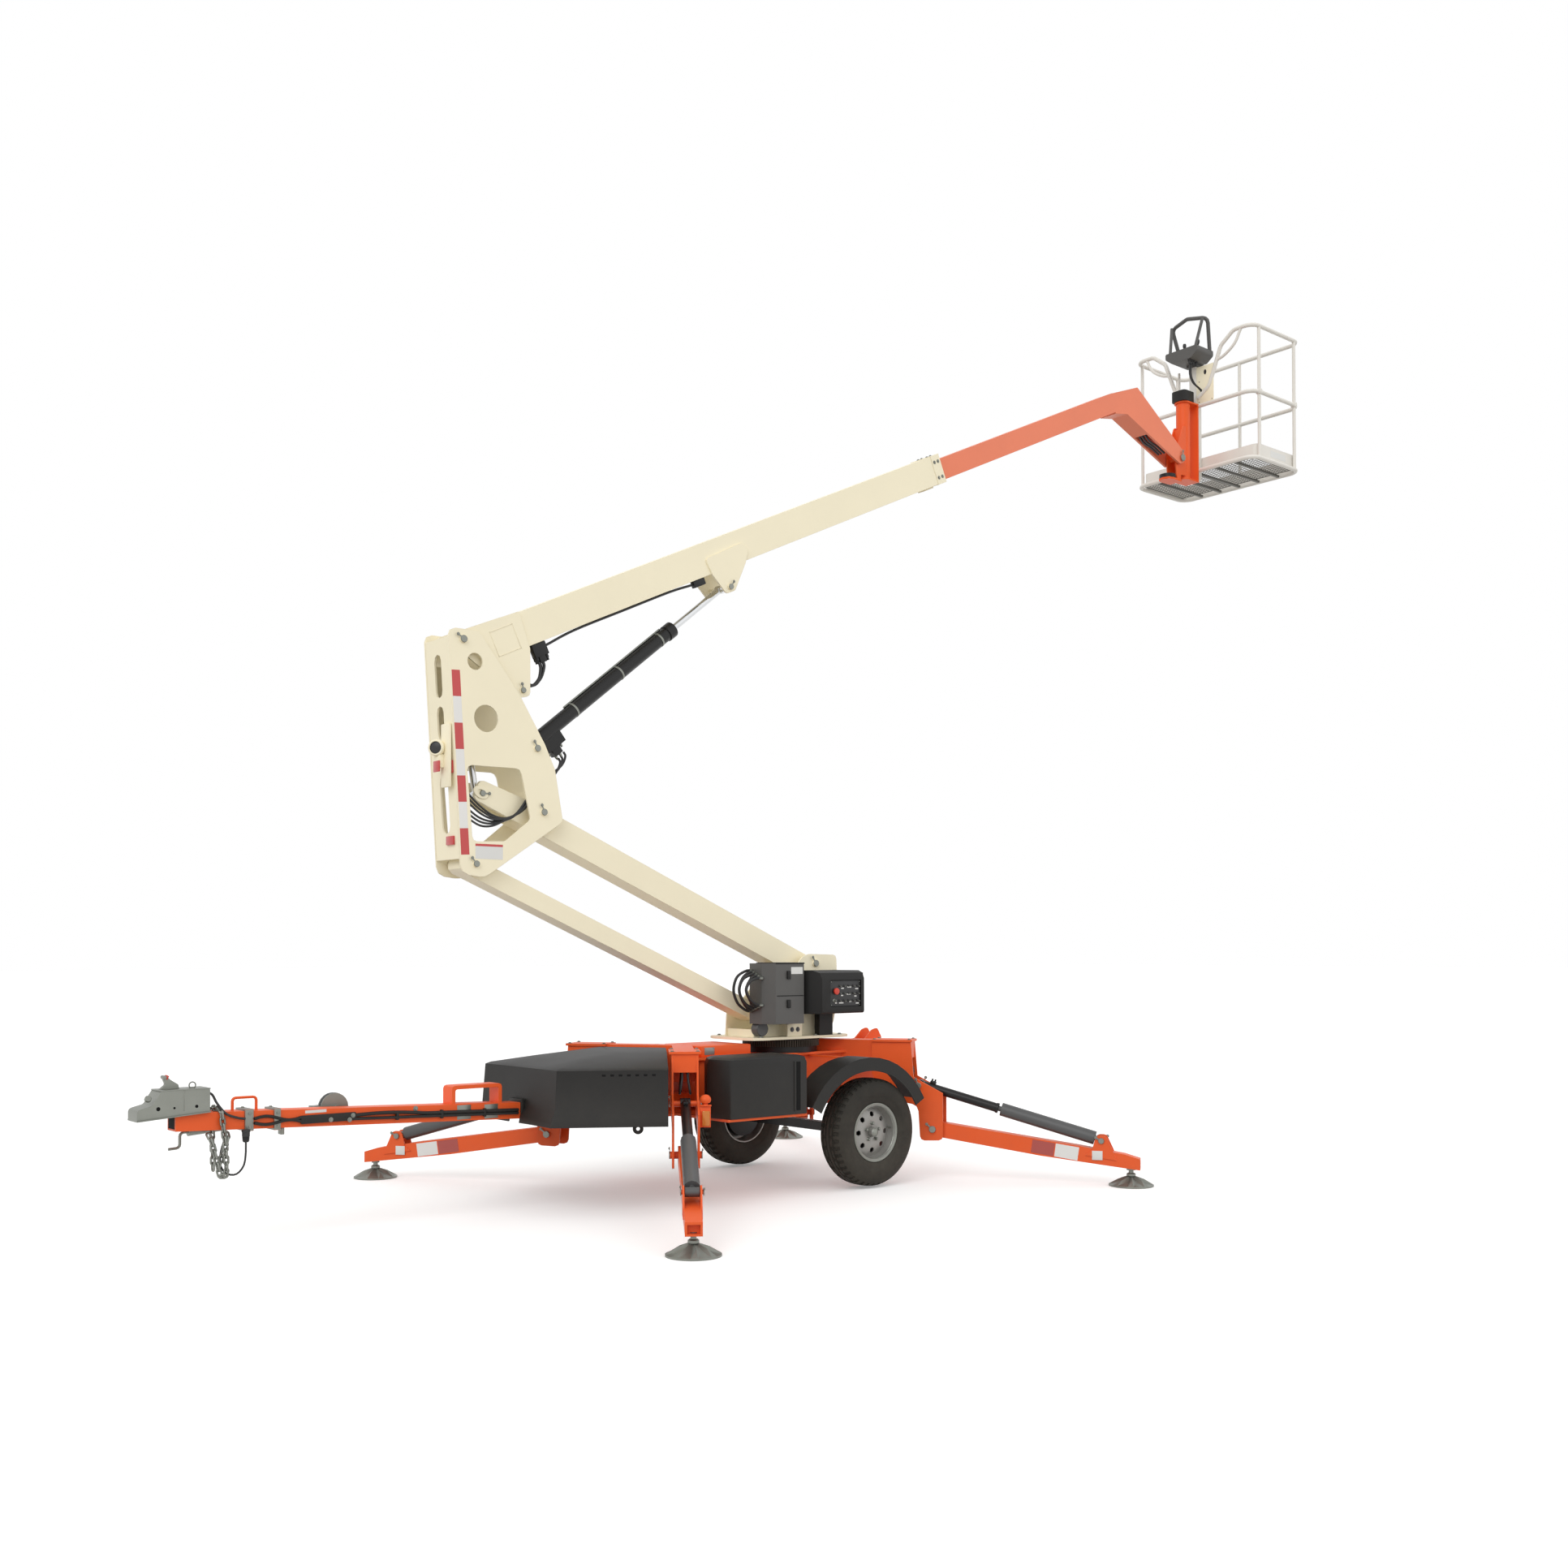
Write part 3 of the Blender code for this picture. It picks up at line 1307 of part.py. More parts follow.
upright_pieces += [
    pin(0.0, 0.0, UPRIGHT_HALF + 0.010, 0.022),
    pin(LINK_DROP[0], LINK_DROP[1], UPRIGHT_HALF + 0.010, 0.020),
    pin(*BOOM_PIVOT, UPRIGHT_HALF + 0.010, 0.024),
    pin(*BOOM_CYLINDER_FOOT, UPRIGHT_HALF + 0.010, 0.022),
    pin(lug_x, lug_z, 0.066, 0.018),
]
upright_cuts = [
    extruded(window, -0.3, 0.3),
    pin(-0.466, 0.855, 0.3, 0.050, 16),
    pin(-0.392, 0.528, 0.3, 0.080, 20),
]
# half width, low and high end of the openings in the front web
for slot_half, slot_low, slot_high in (
    (0.040, 0.643, 0.895), (0.040, 0.399, 0.595), (0.048, -0.150, 0.194)
):
    corners = (
        (-slot_half, slot_low),
        (slot_half, slot_low),
        (slot_half, slot_high),
        (-slot_half, slot_high),
    )
    upright_cuts.append(
        extruded(rounded([(*corner, slot_half * 0.95) for corner in corners]), -0.72, -0.52, "X")
    )
node("upright", CREAM, upright_frame, upright_pieces, upright_cuts)
HOSE_Y = -(UPPER_LINK_HALF + UPRIGHT_HALF - PLATE) / 2
hose(
    "tower_hose",
    BLACK,
    upright_frame,
    [
        (front_edge(0.230) + 0.0145, HOSE_Y, 0.230),
        (-0.500, HOSE_Y, 0.2347),
        (-0.400, HOSE_Y, 0.120),
        (-0.290, HOSE_Y, 0.080),
        (-0.200, HOSE_Y, 0.045),
        (-0.165, HOSE_Y, -0.020),
        (-0.215, HOSE_Y, -0.080),
        (-0.330, HOSE_Y, -0.105),
        (-0.430, HOSE_Y, -0.150),
        (-0.500, HOSE_Y, -0.2019),
        (front_edge(-0.205) + 0.0145, HOSE_Y, -0.205),
    ],
    0.022,
)


# Lift cylinders: an open-ended barrel on the upright and a chromed rod that slides in it.
def lift_cylinder(
    name,
    carrier,
    start,
    end,
    barrel_length,
    rod_length,
    barrel_radius,
    rod_radius,
    eye_radius,
    half,
    pin_radius,
    valve_blocks=(),
):
    """Barrel and rod between two (x, z) points in the carrier's axes."""
    length, angle = direction(start, end)
    barrel = frame(f"axis_{name}_barrel", carrier, (start[0], 0, start[1]), about_y=-angle)
    bore = rod_radius + SLIDING
    node(
        f"{name}_barrel",
        BLACK,
        barrel,
        [
            rod((0.02, 0, 0), (barrel_length, 0, 0), barrel_radius, 20),
            rod(
                (barrel_length - 0.05, 0, 0),
                (barrel_length + 0.012, 0, 0),
                barrel_radius + 0.007,
                20,
            ),
            pin(0, 0, half, eye_radius + 0.008, 16),
            *(box(*block) for block in valve_blocks),
        ],
        [eye(0, 0, pin_radius), rod((0.090, 0, 0), (barrel_length + 0.05, 0, 0), bore, 16)],
    )
    slide = frame(f"axis_{name}_rod", barrel)
    node(
        f"{name}_rod",
        CHROME,
        slide,
        [
            rod((length - rod_length, 0, 0), (length - 0.005, 0, 0), rod_radius, 16),
            pin(length, 0, half * 0.8, eye_radius, 16),
        ],
        [pin(length, 0, 0.2, eye_radius * 0.55)],
    )


rod_pin = (
    BOOM_PIVOT[0] + BOOM_ROD_PIN[0] * BOOM_COS - BOOM_ROD_PIN[1] * BOOM_SIN,
    BOOM_PIVOT[1] + BOOM_ROD_PIN[0] * BOOM_SIN + BOOM_ROD_PIN[1] * BOOM_COS,
)
boom_valve = [
    ((0.120, 0.270), (-0.034, 0.034), (-0.105, -0.030)),
    ((0.150, 0.215), (-0.026, 0.026), (-0.150, -0.095)),
]
lift_cylinder(
    "boom_cylinder",
    upright_frame,
    BOOM_CYLINDER_FOOT,
    rod_pin,
    1.405,
    1.180,
    0.046,
    0.022,
    0.028,
    0.032,
    0.022,
    boom_valve,
)
lever_pin = (
    -LEVER_REACH * LINK_COS - LEVER_DROP * LINK_SIN,
    LEVER_REACH * LINK_SIN - LEVER_DROP * LINK_COS,
)
lift_cylinder(
    "tower_cylinder",
    upright_frame,
    TOWER_CYLINDER_TOP,
    lever_pin,
    0.500,
    0.460,
    0.042,
    0.020,
    0.026,
    0.030,
    0.018,
)

# Upper boom: root plates about the pivot, the outer tube, its collar and the rod's bracket.
root = rounded(
    [
        (-0.050, 0.050, 0.050),
        (0.452, BOOM_TOP + 0.006, 0.01),
        (0.430, -0.195, 0.02),
        (0.310, -0.455, 0.03),
        (0.225, -0.435, 0.03),
        (-0.050, -0.018, 0.048),
    ]
)
boom_low = BOOM_TOP - BOOM_DEPTH
outer_loop, inner_loop = box_loop(BOOM_HALF, boom_low, BOOM_TOP, BOOM_WALL)
bracket = rounded(
    [
        (1.950, boom_low + 0.105, 0.02),
        (1.965, boom_low - 0.008, 0.0),
        (2.025, BOOM_ROD_PIN[1] - 0.034, 0.03),
        (2.105, BOOM_ROD_PIN[1] - 0.034, 0.03),
        (2.270, boom_low - 0.012, 0.0),
        (2.330, boom_low + 0.060, 0.02),
        (2.290, boom_low + 0.120, 0.02),
    ]
)
boom_pieces = [extruded(outer_loop, BOOM_START, BOOM_END, "X")]
boom_pads = []
fly_low = FLY_TOP - FLY_DEPTH
for side in (-1, 1):
    boom_pieces.append(
        extruded(root, *sorted((side * (BOOM_HALF - 0.002), side * (BOOM_HALF + 0.012))))
    )
    boom_pieces.append(
        extruded(bracket, *sorted((side * (BOOM_HALF - 0.002), side * (BOOM_HALF + 0.010))))
    )
    boom_pieces.append(
        rod(
            (0.0, side * (BOOM_HALF + 0.005), 0.0),
            (0.0, side * (UPRIGHT_HALF - PLATE - 0.003), 0.0),
            0.045,
            16,
        )
    )
    boom_pieces.append(
        rod(
            (BOOM_ROD_PIN[0], side * 0.062, BOOM_ROD_PIN[1]),
            (BOOM_ROD_PIN[0], side * (BOOM_HALF + 0.024), BOOM_ROD_PIN[1]),
            0.018,
            12,
        )
    )
    boom_pieces.append(
        rod(
            (0.275, side * (BOOM_HALF - 0.004), -0.405),
            (0.275, side * (BOOM_HALF + 0.022), -0.405),
            0.016,
            12,
        )
    )
for side in (-1, 1):
    pad_y = sorted((side * (FLY_HALF + SLIDING), side * (BOOM_HALF - 0.002)))
    boom_pads.append(box((BOOM_END - 0.09, BOOM_END), pad_y, (boom_low + 0.045, BOOM_TOP - 0.045)))
    boom_pads.append(
        box(
            (BOOM_END - 0.09, BOOM_END),
            (side * 0.045 - 0.02, side * 0.045 + 0.02),
            (boom_low + 0.002, fly_low - SLIDING),
        )
    )
    boom_pads.append(
        box(
            (BOOM_END - 0.09, BOOM_END),
            (side * 0.045 - 0.02, side * 0.045 + 0.02),
            (FLY_TOP + SLIDING, BOOM_TOP - 0.002),
        )
    )
collar_outer, _ = box_loop(BOOM_HALF + 0.004, boom_low - 0.004, BOOM_TOP + 0.004, BOOM_WALL)
boom_pieces.append(extruded(collar_outer, BOOM_END - 0.080, BOOM_END + 0.012, "X"))
boom_pieces.append(
    box((BOOM_END - 0.17, BOOM_END - 0.07), (-0.035, 0.035), (boom_low - 0.014, boom_low + 0.004))
)
boom_cuts = [extruded(inner_loop, BOOM_START - 0.05, BOOM_END + 0.05, "X"), eye(0.0, 0.0, 0.024)]
node("upper_boom", CREAM, boom_frame, boom_pieces, boom_cuts, boom_pads)

# Fly boom: a tube inside the upper boom, cranked down at its head to carry the platform.
fly_straight = [
    (FLY_INNER_END, fly_low),
    (FLY_BEND, fly_low),
    (FLY_BEND, FLY_TOP),
    (FLY_INNER_END, FLY_TOP),
]
pin_x, pin_z = LEVEL_PIN
fly_head = rounded(
    [
        (FLY_BEND - 0.020, FLY_TOP, 0.0),
        (7.065, -0.040, 0.015),
        (pin_x + 0.045, pin_z + 0.050, 0.0),
        (pin_x + 0.040, pin_z - 0.045, 0.04),
        (pin_x - 0.045, pin_z - 0.040, 0.04),
        (6.830, -0.215, 0.02),
        (FLY_BEND - 0.020, fly_low - 0.012, 0.0),
    ]
)
head_slot = [
    (7.105, -0.340),
    (pin_x + 0.12, pin_z + 0.10),
    (pin_x + 0.12, pin_z - 0.12),
    (pin_x - 0.12, pin_z - 0.12),
    (7.000, -0.500),
]
bore = box(
    (FLY_INNER_END - 0.05, FLY_BEND - 0.05),
    (-FLY_HALF + 0.006, FLY_HALF - 0.006),
    (fly_low + 0.006, FLY_TOP - 0.006),
)
node(
    "fly_boom",
    ORANGE,
    fly_frame,
    [extruded(fly_straight, -FLY_HALF, FLY_HALF), extruded(fly_head, -FLY_HALF, FLY_HALF)],
    [extruded(head_slot, -0.060, 0.060), bore, eye(pin_x, pin_z, 0.020)],
)

# Platform support: lugs on the level pin, the upright rotator and its foot.
lug = rounded(
    [
        (-0.045, -0.045, 0.035),
        (-0.030, -0.194, 0.0),
        (0.022, -0.194, 0.0),
        (0.024, -0.135, 0.01),
        (0.095, -0.130, 0.01),
        (0.100, 0.320, 0.02),
        (0.060, 0.300, 0.03),
        (-0.045, 0.045, 0.035),
    ]
)
foot = rounded(
    [(-0.170, -0.072, 0.06), (0.020, -0.060, 0.0), (0.020, 0.060, 0.0), (-0.170, 0.072, 0.06)]
)
support_pieces = [
    rod((ROTATOR_X, 0, ROTATOR_LOW), (ROTATOR_X, 0, ROTATOR_HIGH), ROTATOR_RADIUS, 20),
    pin(0, 0, FLY_HALF + 0.012, 0.020),
    extruded(foot, -0.200, -0.182, "Z"),
    box((0.060, 0.085), (-0.045, 0.045), (-0.125, 0.28)),
]
for side in (-1, 1):
    support_pieces.append(extruded(lug, *sorted((side * 0.040, side * 0.052))))
node("platform_support", ORANGE, level_frame, support_pieces)
ring = [
    (0.0, -0.182 + SEAT),
    (0.070, -0.182 + SEAT),
    (0.070, -0.150),
    (0.055, -0.145),
    (0.0, -0.145),
]
node("support_ring", BLACK, level_frame, [turned(ring, 24, at=(-0.100, 0, 0))])

# Basket carrier, which the rotator turns, and the post with the controls
BACK_X = BASKET_FRONT_X - ROTATOR_X
carrier_x = BACK_X - RAIL_RADIUS * math.cos(math.radians(30)) - SEAT
carrier_top = ROTATOR_HIGH + SLIDING + 0.014
carrier_plan = rounded(
    [
        (-0.070, -0.070, 0.060),
        (carrier_x, -0.070, 0.0),
        (carrier_x, 0.070, 0.0),
        (-0.070, 0.070, 0.060),
    ],
    5,
)
node(
    "basket_carrier",
    ORANGE,
    basket_frame,
    [
        extruded(carrier_plan, ROTATOR_HIGH + SLIDING, carrier_top, "Z"),
        extruded(carrier_plan, ROTATOR_LOW - SLIDING - 0.014, ROTATOR_LOW - SLIDING, "Z"),
        box(
            (carrier_x - 0.012, carrier_x),
            (-0.070, 0.070),
            (ROTATOR_LOW - SLIDING - 0.014, carrier_top),
        ),
    ],
)
node(
    "carrier_cap",
    DARK,
    basket_frame,
    [
        extruded(
            rounded(
                [
                    (-0.08, -0.072, 0.03),
                    (0.08, -0.072, 0.03),
                    (0.08, 0.072, 0.03),
                    (-0.08, 0.072, 0.03),
                ]
            ),
            carrier_top + SEAT,
            ROTATOR_HIGH + 0.105,
            "Z",
        )
    ],
)

floor_z = BASKET_FLOOR
front, rear = BACK_X, BACK_X + BASKET_LENGTH
loop = [(front, -BASKET_HALF), (rear, -BASKET_HALF), (rear, BASKET_HALF), (front, BASKET_HALF)]
basket_pieces = []
for height in (floor_z, floor_z + MID_RAIL):
    basket_pieces.append(
        tube(bent([(x, y, height) for x, y in loop], CORNER_RADIUS, 3, True), RAIL_RADIUS, 6, True)
    )
top = floor_z + TOP_RAIL
dip = [
    (front, -0.055, top - 0.50),
    (front, -0.17, top - 0.42),
    (front, -0.29, top - 0.10),
    (front, -0.42, top),
]
top_path = dip + [
    (front, -BASKET_HALF, top),
    (rear, -BASKET_HALF, top),
    (rear, BASKET_HALF, top),
    (front, BASKET_HALF, top),
]
top_path += [(x, -y, z) for x, y, z in reversed(dip)]
basket_pieces.append(tube(bent(top_path, 0.09, 3), RAIL_RADIUS, 6))
posts = [
    (front + 0.09, -BASKET_HALF),
    (rear - 0.09, -BASKET_HALF),
    (front + 0.09, BASKET_HALF),
    (rear - 0.09, BASKET_HALF),
    (rear, 0.0),
]
for x, y in posts:
    basket_pieces.append(rod((x, y, floor_z), (x, y, top), RAIL_RADIUS * 0.84, 6))
for y in (-0.40, -0.20, 0.0, 0.20, 0.40):
    basket_pieces.append(
        box((front, rear), (y - 0.012, y + 0.012), (floor_z - 0.010, floor_z + 0.010))
    )
basket_pieces.append(
    box((front - 0.004, front + 0.078), (-0.036, 0.036), (floor_z - 0.075, floor_z + 0.93))
)
node("basket_frame", RAIL, basket_frame, basket_pieces)
floor_edge = 0.030
floor_outline = rounded(
    [
        (front + 0.090, -BASKET_HALF + floor_edge, 0.03),
        (rear - floor_edge - 0.03, -BASKET_HALF + floor_edge, 0.03),
        (rear - floor_edge - 0.03, BASKET_HALF - floor_edge, 0.03),
        (front + 0.090, BASKET_HALF - floor_edge, 0.03),
    ]
)
node(
    "basket_floor",
    GRATE,
    basket_frame,
    [extruded(floor_outline, floor_z + 0.010 + SEAT, floor_z + 0.016, "Z")],
)
edge = RAIL_RADIUS * math.cos(math.radians(30)) + SEAT
toe_outer = rounded(
    [
        (front + 0.080, -BASKET_HALF + edge, 0.05),
        (rear - edge, -BASKET_HALF + edge, 0.082),
        (rear - edge, BASKET_HALF - edge, 0.082),
        (front + 0.080, BASKET_HALF - edge, 0.05),
    ],
    3,
)
edge += 0.003
toe_inner = rounded(
    [
        (front + 0.083, -BASKET_HALF + edge, 0.047),
        (rear - edge, -BASKET_HALF + edge, 0.079),
        (rear - edge, BASKET_HALF - edge, 0.079),
        (front + 0.083, BASKET_HALF - edge, 0.047),
    ],
    3,
)
node(
    "toe_boards",
    RAIL,
    basket_frame,
    [extruded(toe_outer, floor_z + 0.010 + SEAT, floor_z + 0.130, "Z")],
    [extruded(toe_inner, floor_z, floor_z + 0.2, "Z")],
)
console_z = floor_z + 0.93 + SEAT
console_x = front - 0.060
console_face = rounded(
    [
        (-0.100, console_z + 0.020, 0.01),
        (0.100, console_z + 0.020, 0.01),
        (0.165, console_z + 0.070, 0.02),
        (0.165, console_z + 0.120, 0.012),
        (-0.165, console_z + 0.120, 0.012),
        (-0.165, console_z + 0.070, 0.02),
    ]
)
node(
    "platform_console",
    GREY,
    basket_frame,
    [
        extruded(console_face, console_x - 0.110, console_x + 0.130, "X"),
        box((front - 0.02, front + 0.09), (-0.05, 0.05), (console_z, console_z + 0.03)),
        tube(
            bent(
                [
                    (console_x + 0.10, -0.150, console_z + 0.10),
                    (console_x + 0.02, -0.185, console_z + 0.38),
                    (console_x - 0.02, 0.0, console_z + 0.41),
                    (console_x + 0.02, 0.185, console_z + 0.38),
                    (console_x + 0.10, 0.150, console_z + 0.10),
                ],
                0.05,
                3,
            ),
            0.017,
            8,
            up=(1, 0, 0),
        ),
        tube(
            [
                (console_x - 0.09, -0.13, console_z + 0.10),
                (console_x - 0.02, -0.16, console_z + 0.372),
            ],
            0.014,
            8,
            up=(1, 0, 0),
        ),
        tube(
            [
                (console_x - 0.09, 0.13, console_z + 0.10),
                (console_x - 0.02, 0.16, console_z + 0.372),
            ],
            0.014,
            8,
            up=(1, 0, 0),
        ),
    ],
)
hose(
    "platform_cable",
    BLACK,
    basket_frame,
    [
        (console_x - 0.050, -0.060, console_z + 0.020 - SEAT),
        (console_x - 0.050, -0.060, console_z - 0.045),
        (console_x - 0.060, -0.070, console_z - 0.120),
        (console_x - 0.035, -0.084, console_z - 0.185),
        (front - 0.010, -0.092, console_z - 0.225),
        (front + 0.037, -0.080, console_z - 0.235),
        (front + 0.037, -0.036 - SEAT, console_z - 0.235),
    ],
    0.014,
)
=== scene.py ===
"""Finish and small fittings of a towable boom lift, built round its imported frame."""
import json
import math

import bmesh
import bpy
from mathutils import Matrix, Vector

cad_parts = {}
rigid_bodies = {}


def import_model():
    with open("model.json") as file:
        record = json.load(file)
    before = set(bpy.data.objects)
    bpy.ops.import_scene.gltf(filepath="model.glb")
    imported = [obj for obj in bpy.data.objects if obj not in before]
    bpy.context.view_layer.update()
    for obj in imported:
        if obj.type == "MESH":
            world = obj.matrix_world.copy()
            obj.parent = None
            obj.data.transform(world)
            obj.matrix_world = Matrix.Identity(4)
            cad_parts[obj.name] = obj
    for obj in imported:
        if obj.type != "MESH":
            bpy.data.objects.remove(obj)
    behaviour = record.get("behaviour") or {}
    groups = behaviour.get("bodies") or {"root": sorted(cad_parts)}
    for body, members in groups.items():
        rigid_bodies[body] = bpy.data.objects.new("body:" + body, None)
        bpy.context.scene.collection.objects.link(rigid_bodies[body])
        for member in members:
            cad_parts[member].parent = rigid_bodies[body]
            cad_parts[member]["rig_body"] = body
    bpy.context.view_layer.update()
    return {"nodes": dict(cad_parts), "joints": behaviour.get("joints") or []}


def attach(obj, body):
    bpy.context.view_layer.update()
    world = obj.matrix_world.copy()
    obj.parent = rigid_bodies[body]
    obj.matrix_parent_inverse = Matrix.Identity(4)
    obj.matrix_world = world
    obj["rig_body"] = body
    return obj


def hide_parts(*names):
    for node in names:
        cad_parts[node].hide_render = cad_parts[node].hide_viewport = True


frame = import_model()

# The view: a camera at the height of a seated onlooker, off the near front corner, with the
# picture's shift of its middle kept in the lens, over a plain white floor under soft light.
CAMERA_PLACE = (-7.591, -8.299, 1.563)
CAMERA_YAW = math.radians(-39.61)
CAMERA_PITCH = math.radians(0.943)
CAMERA_ROLL = math.radians(-0.08)
PHOTO_SIZE = 1932
FOCAL_PIXELS = 1944.5
MIDDLE_PIXELS = (943.94, 1138.58)
SENSOR = 36.0


def linked(name, data):
    """An object for some data, put into the scene."""
    made = bpy.data.objects.new(name, data)
    bpy.context.scene.collection.objects.link(made)
    return made


camera_data = bpy.data.cameras.new("camera")
camera_data.sensor_width = SENSOR
camera_data.lens = SENSOR * FOCAL_PIXELS / PHOTO_SIZE
camera_data.shift_x = (PHOTO_SIZE / 2 - MIDDLE_PIXELS[0]) / PHOTO_SIZE
camera_data.shift_y = (MIDDLE_PIXELS[1] - PHOTO_SIZE / 2) / PHOTO_SIZE
camera_data.clip_end = 400.0
camera = linked("camera", camera_data)
right = Vector((math.cos(CAMERA_YAW), math.sin(CAMERA_YAW), 0.0))
forward = Vector((-right.y, right.x, 0.0)) * math.cos(CAMERA_PITCH)
ahead = forward + Vector((0.0, 0.0, math.sin(CAMERA_PITCH)))
level = Matrix((right, right.cross(ahead), -ahead)).transposed()
roll = Matrix.Rotation(CAMERA_ROLL, 4, "Z")
camera.matrix_world = Matrix.Translation(CAMERA_PLACE) @ level.to_4x4() @ roll
bpy.context.scene.camera = camera
bpy.context.scene.view_settings.view_transform = "Standard"


# Cable of the towing vehicle's lights: a rubber-sheathed lead that hangs in one loop from its
# plug, which is parked on the tongue's side, and goes back up into the hollow tongue.
class Wire:
    """A socket in a shader tree that Python's operators can reckon with."""

    def __init__(self, tree, socket):
        self.tree = tree
        self.socket = socket

    def reckon(self, operation, first, second):
        sockets = {0: first, 1: second}
        return Shading(self.tree).node("Math", {"operation": operation}, sockets)

    def __add__(self, other):
        return self.reckon("ADD", self, other)

    __radd__ = __add__

    def __rsub__(self, other):
        return self.reckon("SUBTRACT", other, self)

    def __mul__(self, other):
        return self.reckon("MULTIPLY", self, other)

    def __gt__(self, other):
        return self.reckon("GREATER_THAN", self, other)

    def at_most(self, other):
        return self.reckon("MINIMUM", self, other)

    def at_least(self, other):
        return self.reckon("MAXIMUM", self, other)


class Shading:
    """A node tree that is filled one node at a time."""

    def __init__(self, tree):
        self.tree = tree

    def fill(self, made, sockets):
        """What a node's sockets take: wires or plain values."""
        for name, value in sockets.items():
            if isinstance(value, Wire):
                self.tree.links.new(value.socket, made.inputs[name])
            else:
                made.inputs[name].default_value = value

    def node(self, kind, settings=None, sockets=None, out=0):
        made = self.tree.nodes.new("ShaderNode" + kind)
        for name, value in (settings or {}).items():
            setattr(made, name, value)
        self.fill(made, sockets or {})
        return Wire(self.tree, made.outputs[out])

    def mix(self, share, first, second):
        """Two colours mixed."""
        first, second = (c if isinstance(c, Wire) else (*c, 1.0) for c in (first, second))
        return self.node("Mix", {"data_type": "RGBA"}, {0: share, 6: first, 7: second}, out=2)

    def end(self, surface):
        out = next(n for n in self.tree.nodes if n.bl_idname.startswith("ShaderNodeOutput"))
        self.fill(out, {"Surface": surface})


CLOUDS = {"Scale": 2.6, "Detail": 5.0, "Roughness": 0.6}
GRAIN = {"Scale": 260.0, "Detail": 2.0}
PATCHES = {"Scale": 9.0, "Detail": 6.0, "Roughness": 0.7}
DUST = (0.30, 0.26, 0.20)
DUST_TOP = 0.95


def finish(
    name, slot, colour, roughness, metallic=0.0, grain=0.0, tone=0.05, edge=None, coat=0.0, rounding=0.003,
    dust=0.0, gloss=0.5,
):
    """A surface and its slot: soft cloudy change of tone, fine grain, worn and rounded edges."""
    made = bpy.data.materials.new(name)
    made.use_nodes = True
    shading = Shading(made.node_tree)
    place = shading.node("TexCoord", out="Object")
    clouds = shading.node("TexNoise", sockets={"Vector": place, **CLOUDS})
    fine = shading.node("TexNoise", sockets={"Vector": place, **GRAIN})
    dull = tuple(c * (1.0 - 2.2 * tone) for c in colour)
    pale = tuple(min(1.0, c * (1.0 + tone)) for c in colour)
    tint = shading.mix(clouds, dull, pale)
    rounded = shading.node("Bevel", {"samples": 4}, {"Radius": rounding})
    if edge is not None:
        straight = shading.node("NewGeometry", out="Normal")
        product = {"operation": "DOT_PRODUCT"}
        meet = shading.node("VectorMath", product, {0: rounded, 1: straight}, out="Value")
        worn = ((1.0 - meet) * 4.0).at_most(1.0) * (clouds > 0.47) * (0.35 + fine * 0.6)
        tint = shading.mix(worn, tint, edge)
    if dust:
        height = shading.node("SeparateXYZ", sockets={0: place}, out="Z")
        low = ((DUST_TOP - height) * 1.4).at_most(1.0).at_least(0.0)
        patches = shading.node("TexNoise", sockets={"Vector": place, **PATCHES})
        tint = shading.mix((low * patches * dust).at_most(0.8), tint, DUST)
    bump = {"Strength": grain, "Distance": 0.001, "Height": fine, "Normal": rounded}
    surface = {
        "Base Color": tint,
        "Roughness": roughness - 0.06 + clouds * 0.08 + fine * 0.04,
        "Normal": shading.node("Bump", sockets=bump),
        "Metallic": metallic,
        "Coat Weight": coat,
        "Specular IOR Level": gloss,
    }
    shading.fill(made.node_tree.nodes["Principled BSDF"], surface)
    return made, slot


hose_rubber = finish("hose_rubber", "rubber_hose", (0.017, 0.017, 0.018), 0.50, grain=0.45, tone=0.10)


def at(*place):
    """A shift in space."""
    return Matrix.Translation(place)


def about(axis, angle):
    """A turn about an axis of the frame."""
    return Matrix.Rotation(angle, 4, axis)


def flip(side):
    """A mirror across the lift's middle plane for side -1, and nothing for side 1."""
    return Matrix.Scale(side, 4, (0, 1, 0))


def facing(origin, side):
    """Axes on a face with z out of it. side is -1 for a near face, 1 for a far one, 0 for a top."""
    return at(*origin) @ about("Z", math.pi if side > 0 else 0.0) @ about("X", abs(side) * math.pi / 2)


def axis_place(joint):
    """Where a joint's axis stands in the frame."""
    return Vector(next(j for j in frame["joints"] if j["name"] == joint)["pos_m"])


# Places are measured from the slewing axis, or from the joint that a piece's base stands on.
MACHINE = at(axis_place("slew").x, 0.0, 0.0)


def smooth_path(points, steps):
    """A smooth path through points in space."""
    knots = [Vector(point) for point in points]
    knots = [2 * knots[0] - knots[1], *knots, 2 * knots[-1] - knots[-2]]
    path = []
    for before, start, end, after in zip(knots, knots[1:], knots[2:], knots[3:]):
        for k in range(steps):
            t = k / steps
            lead = 2 * start + (end - before) * t
            bend = (2 * before - 5 * start + 4 * end - after) * t * t
            twist = (3 * start - before - 3 * end + after) * t * t * t
            path.append((lead + bend + twist) / 2)
    path.append(knots[-2])
    return path


def round_bar(name, path, radius, sides=2, closed=False):
    """A curve of one open or closed spline with a round section."""
    data = bpy.data.curves.new(name, "CURVE")
    data.dimensions = "3D"
    data.bevel_depth = radius
    data.bevel_resolution = sides
    data.use_fill_caps = not closed
    spline = data.splines.new("POLY")
    spline.points.add(len(path) - 1)
    spline.use_cyclic_u = closed
    spline.use_smooth = True
    for point, place in zip(spline.points, path):
        point.co = (*place, 1.0)
    return linked(name, data)


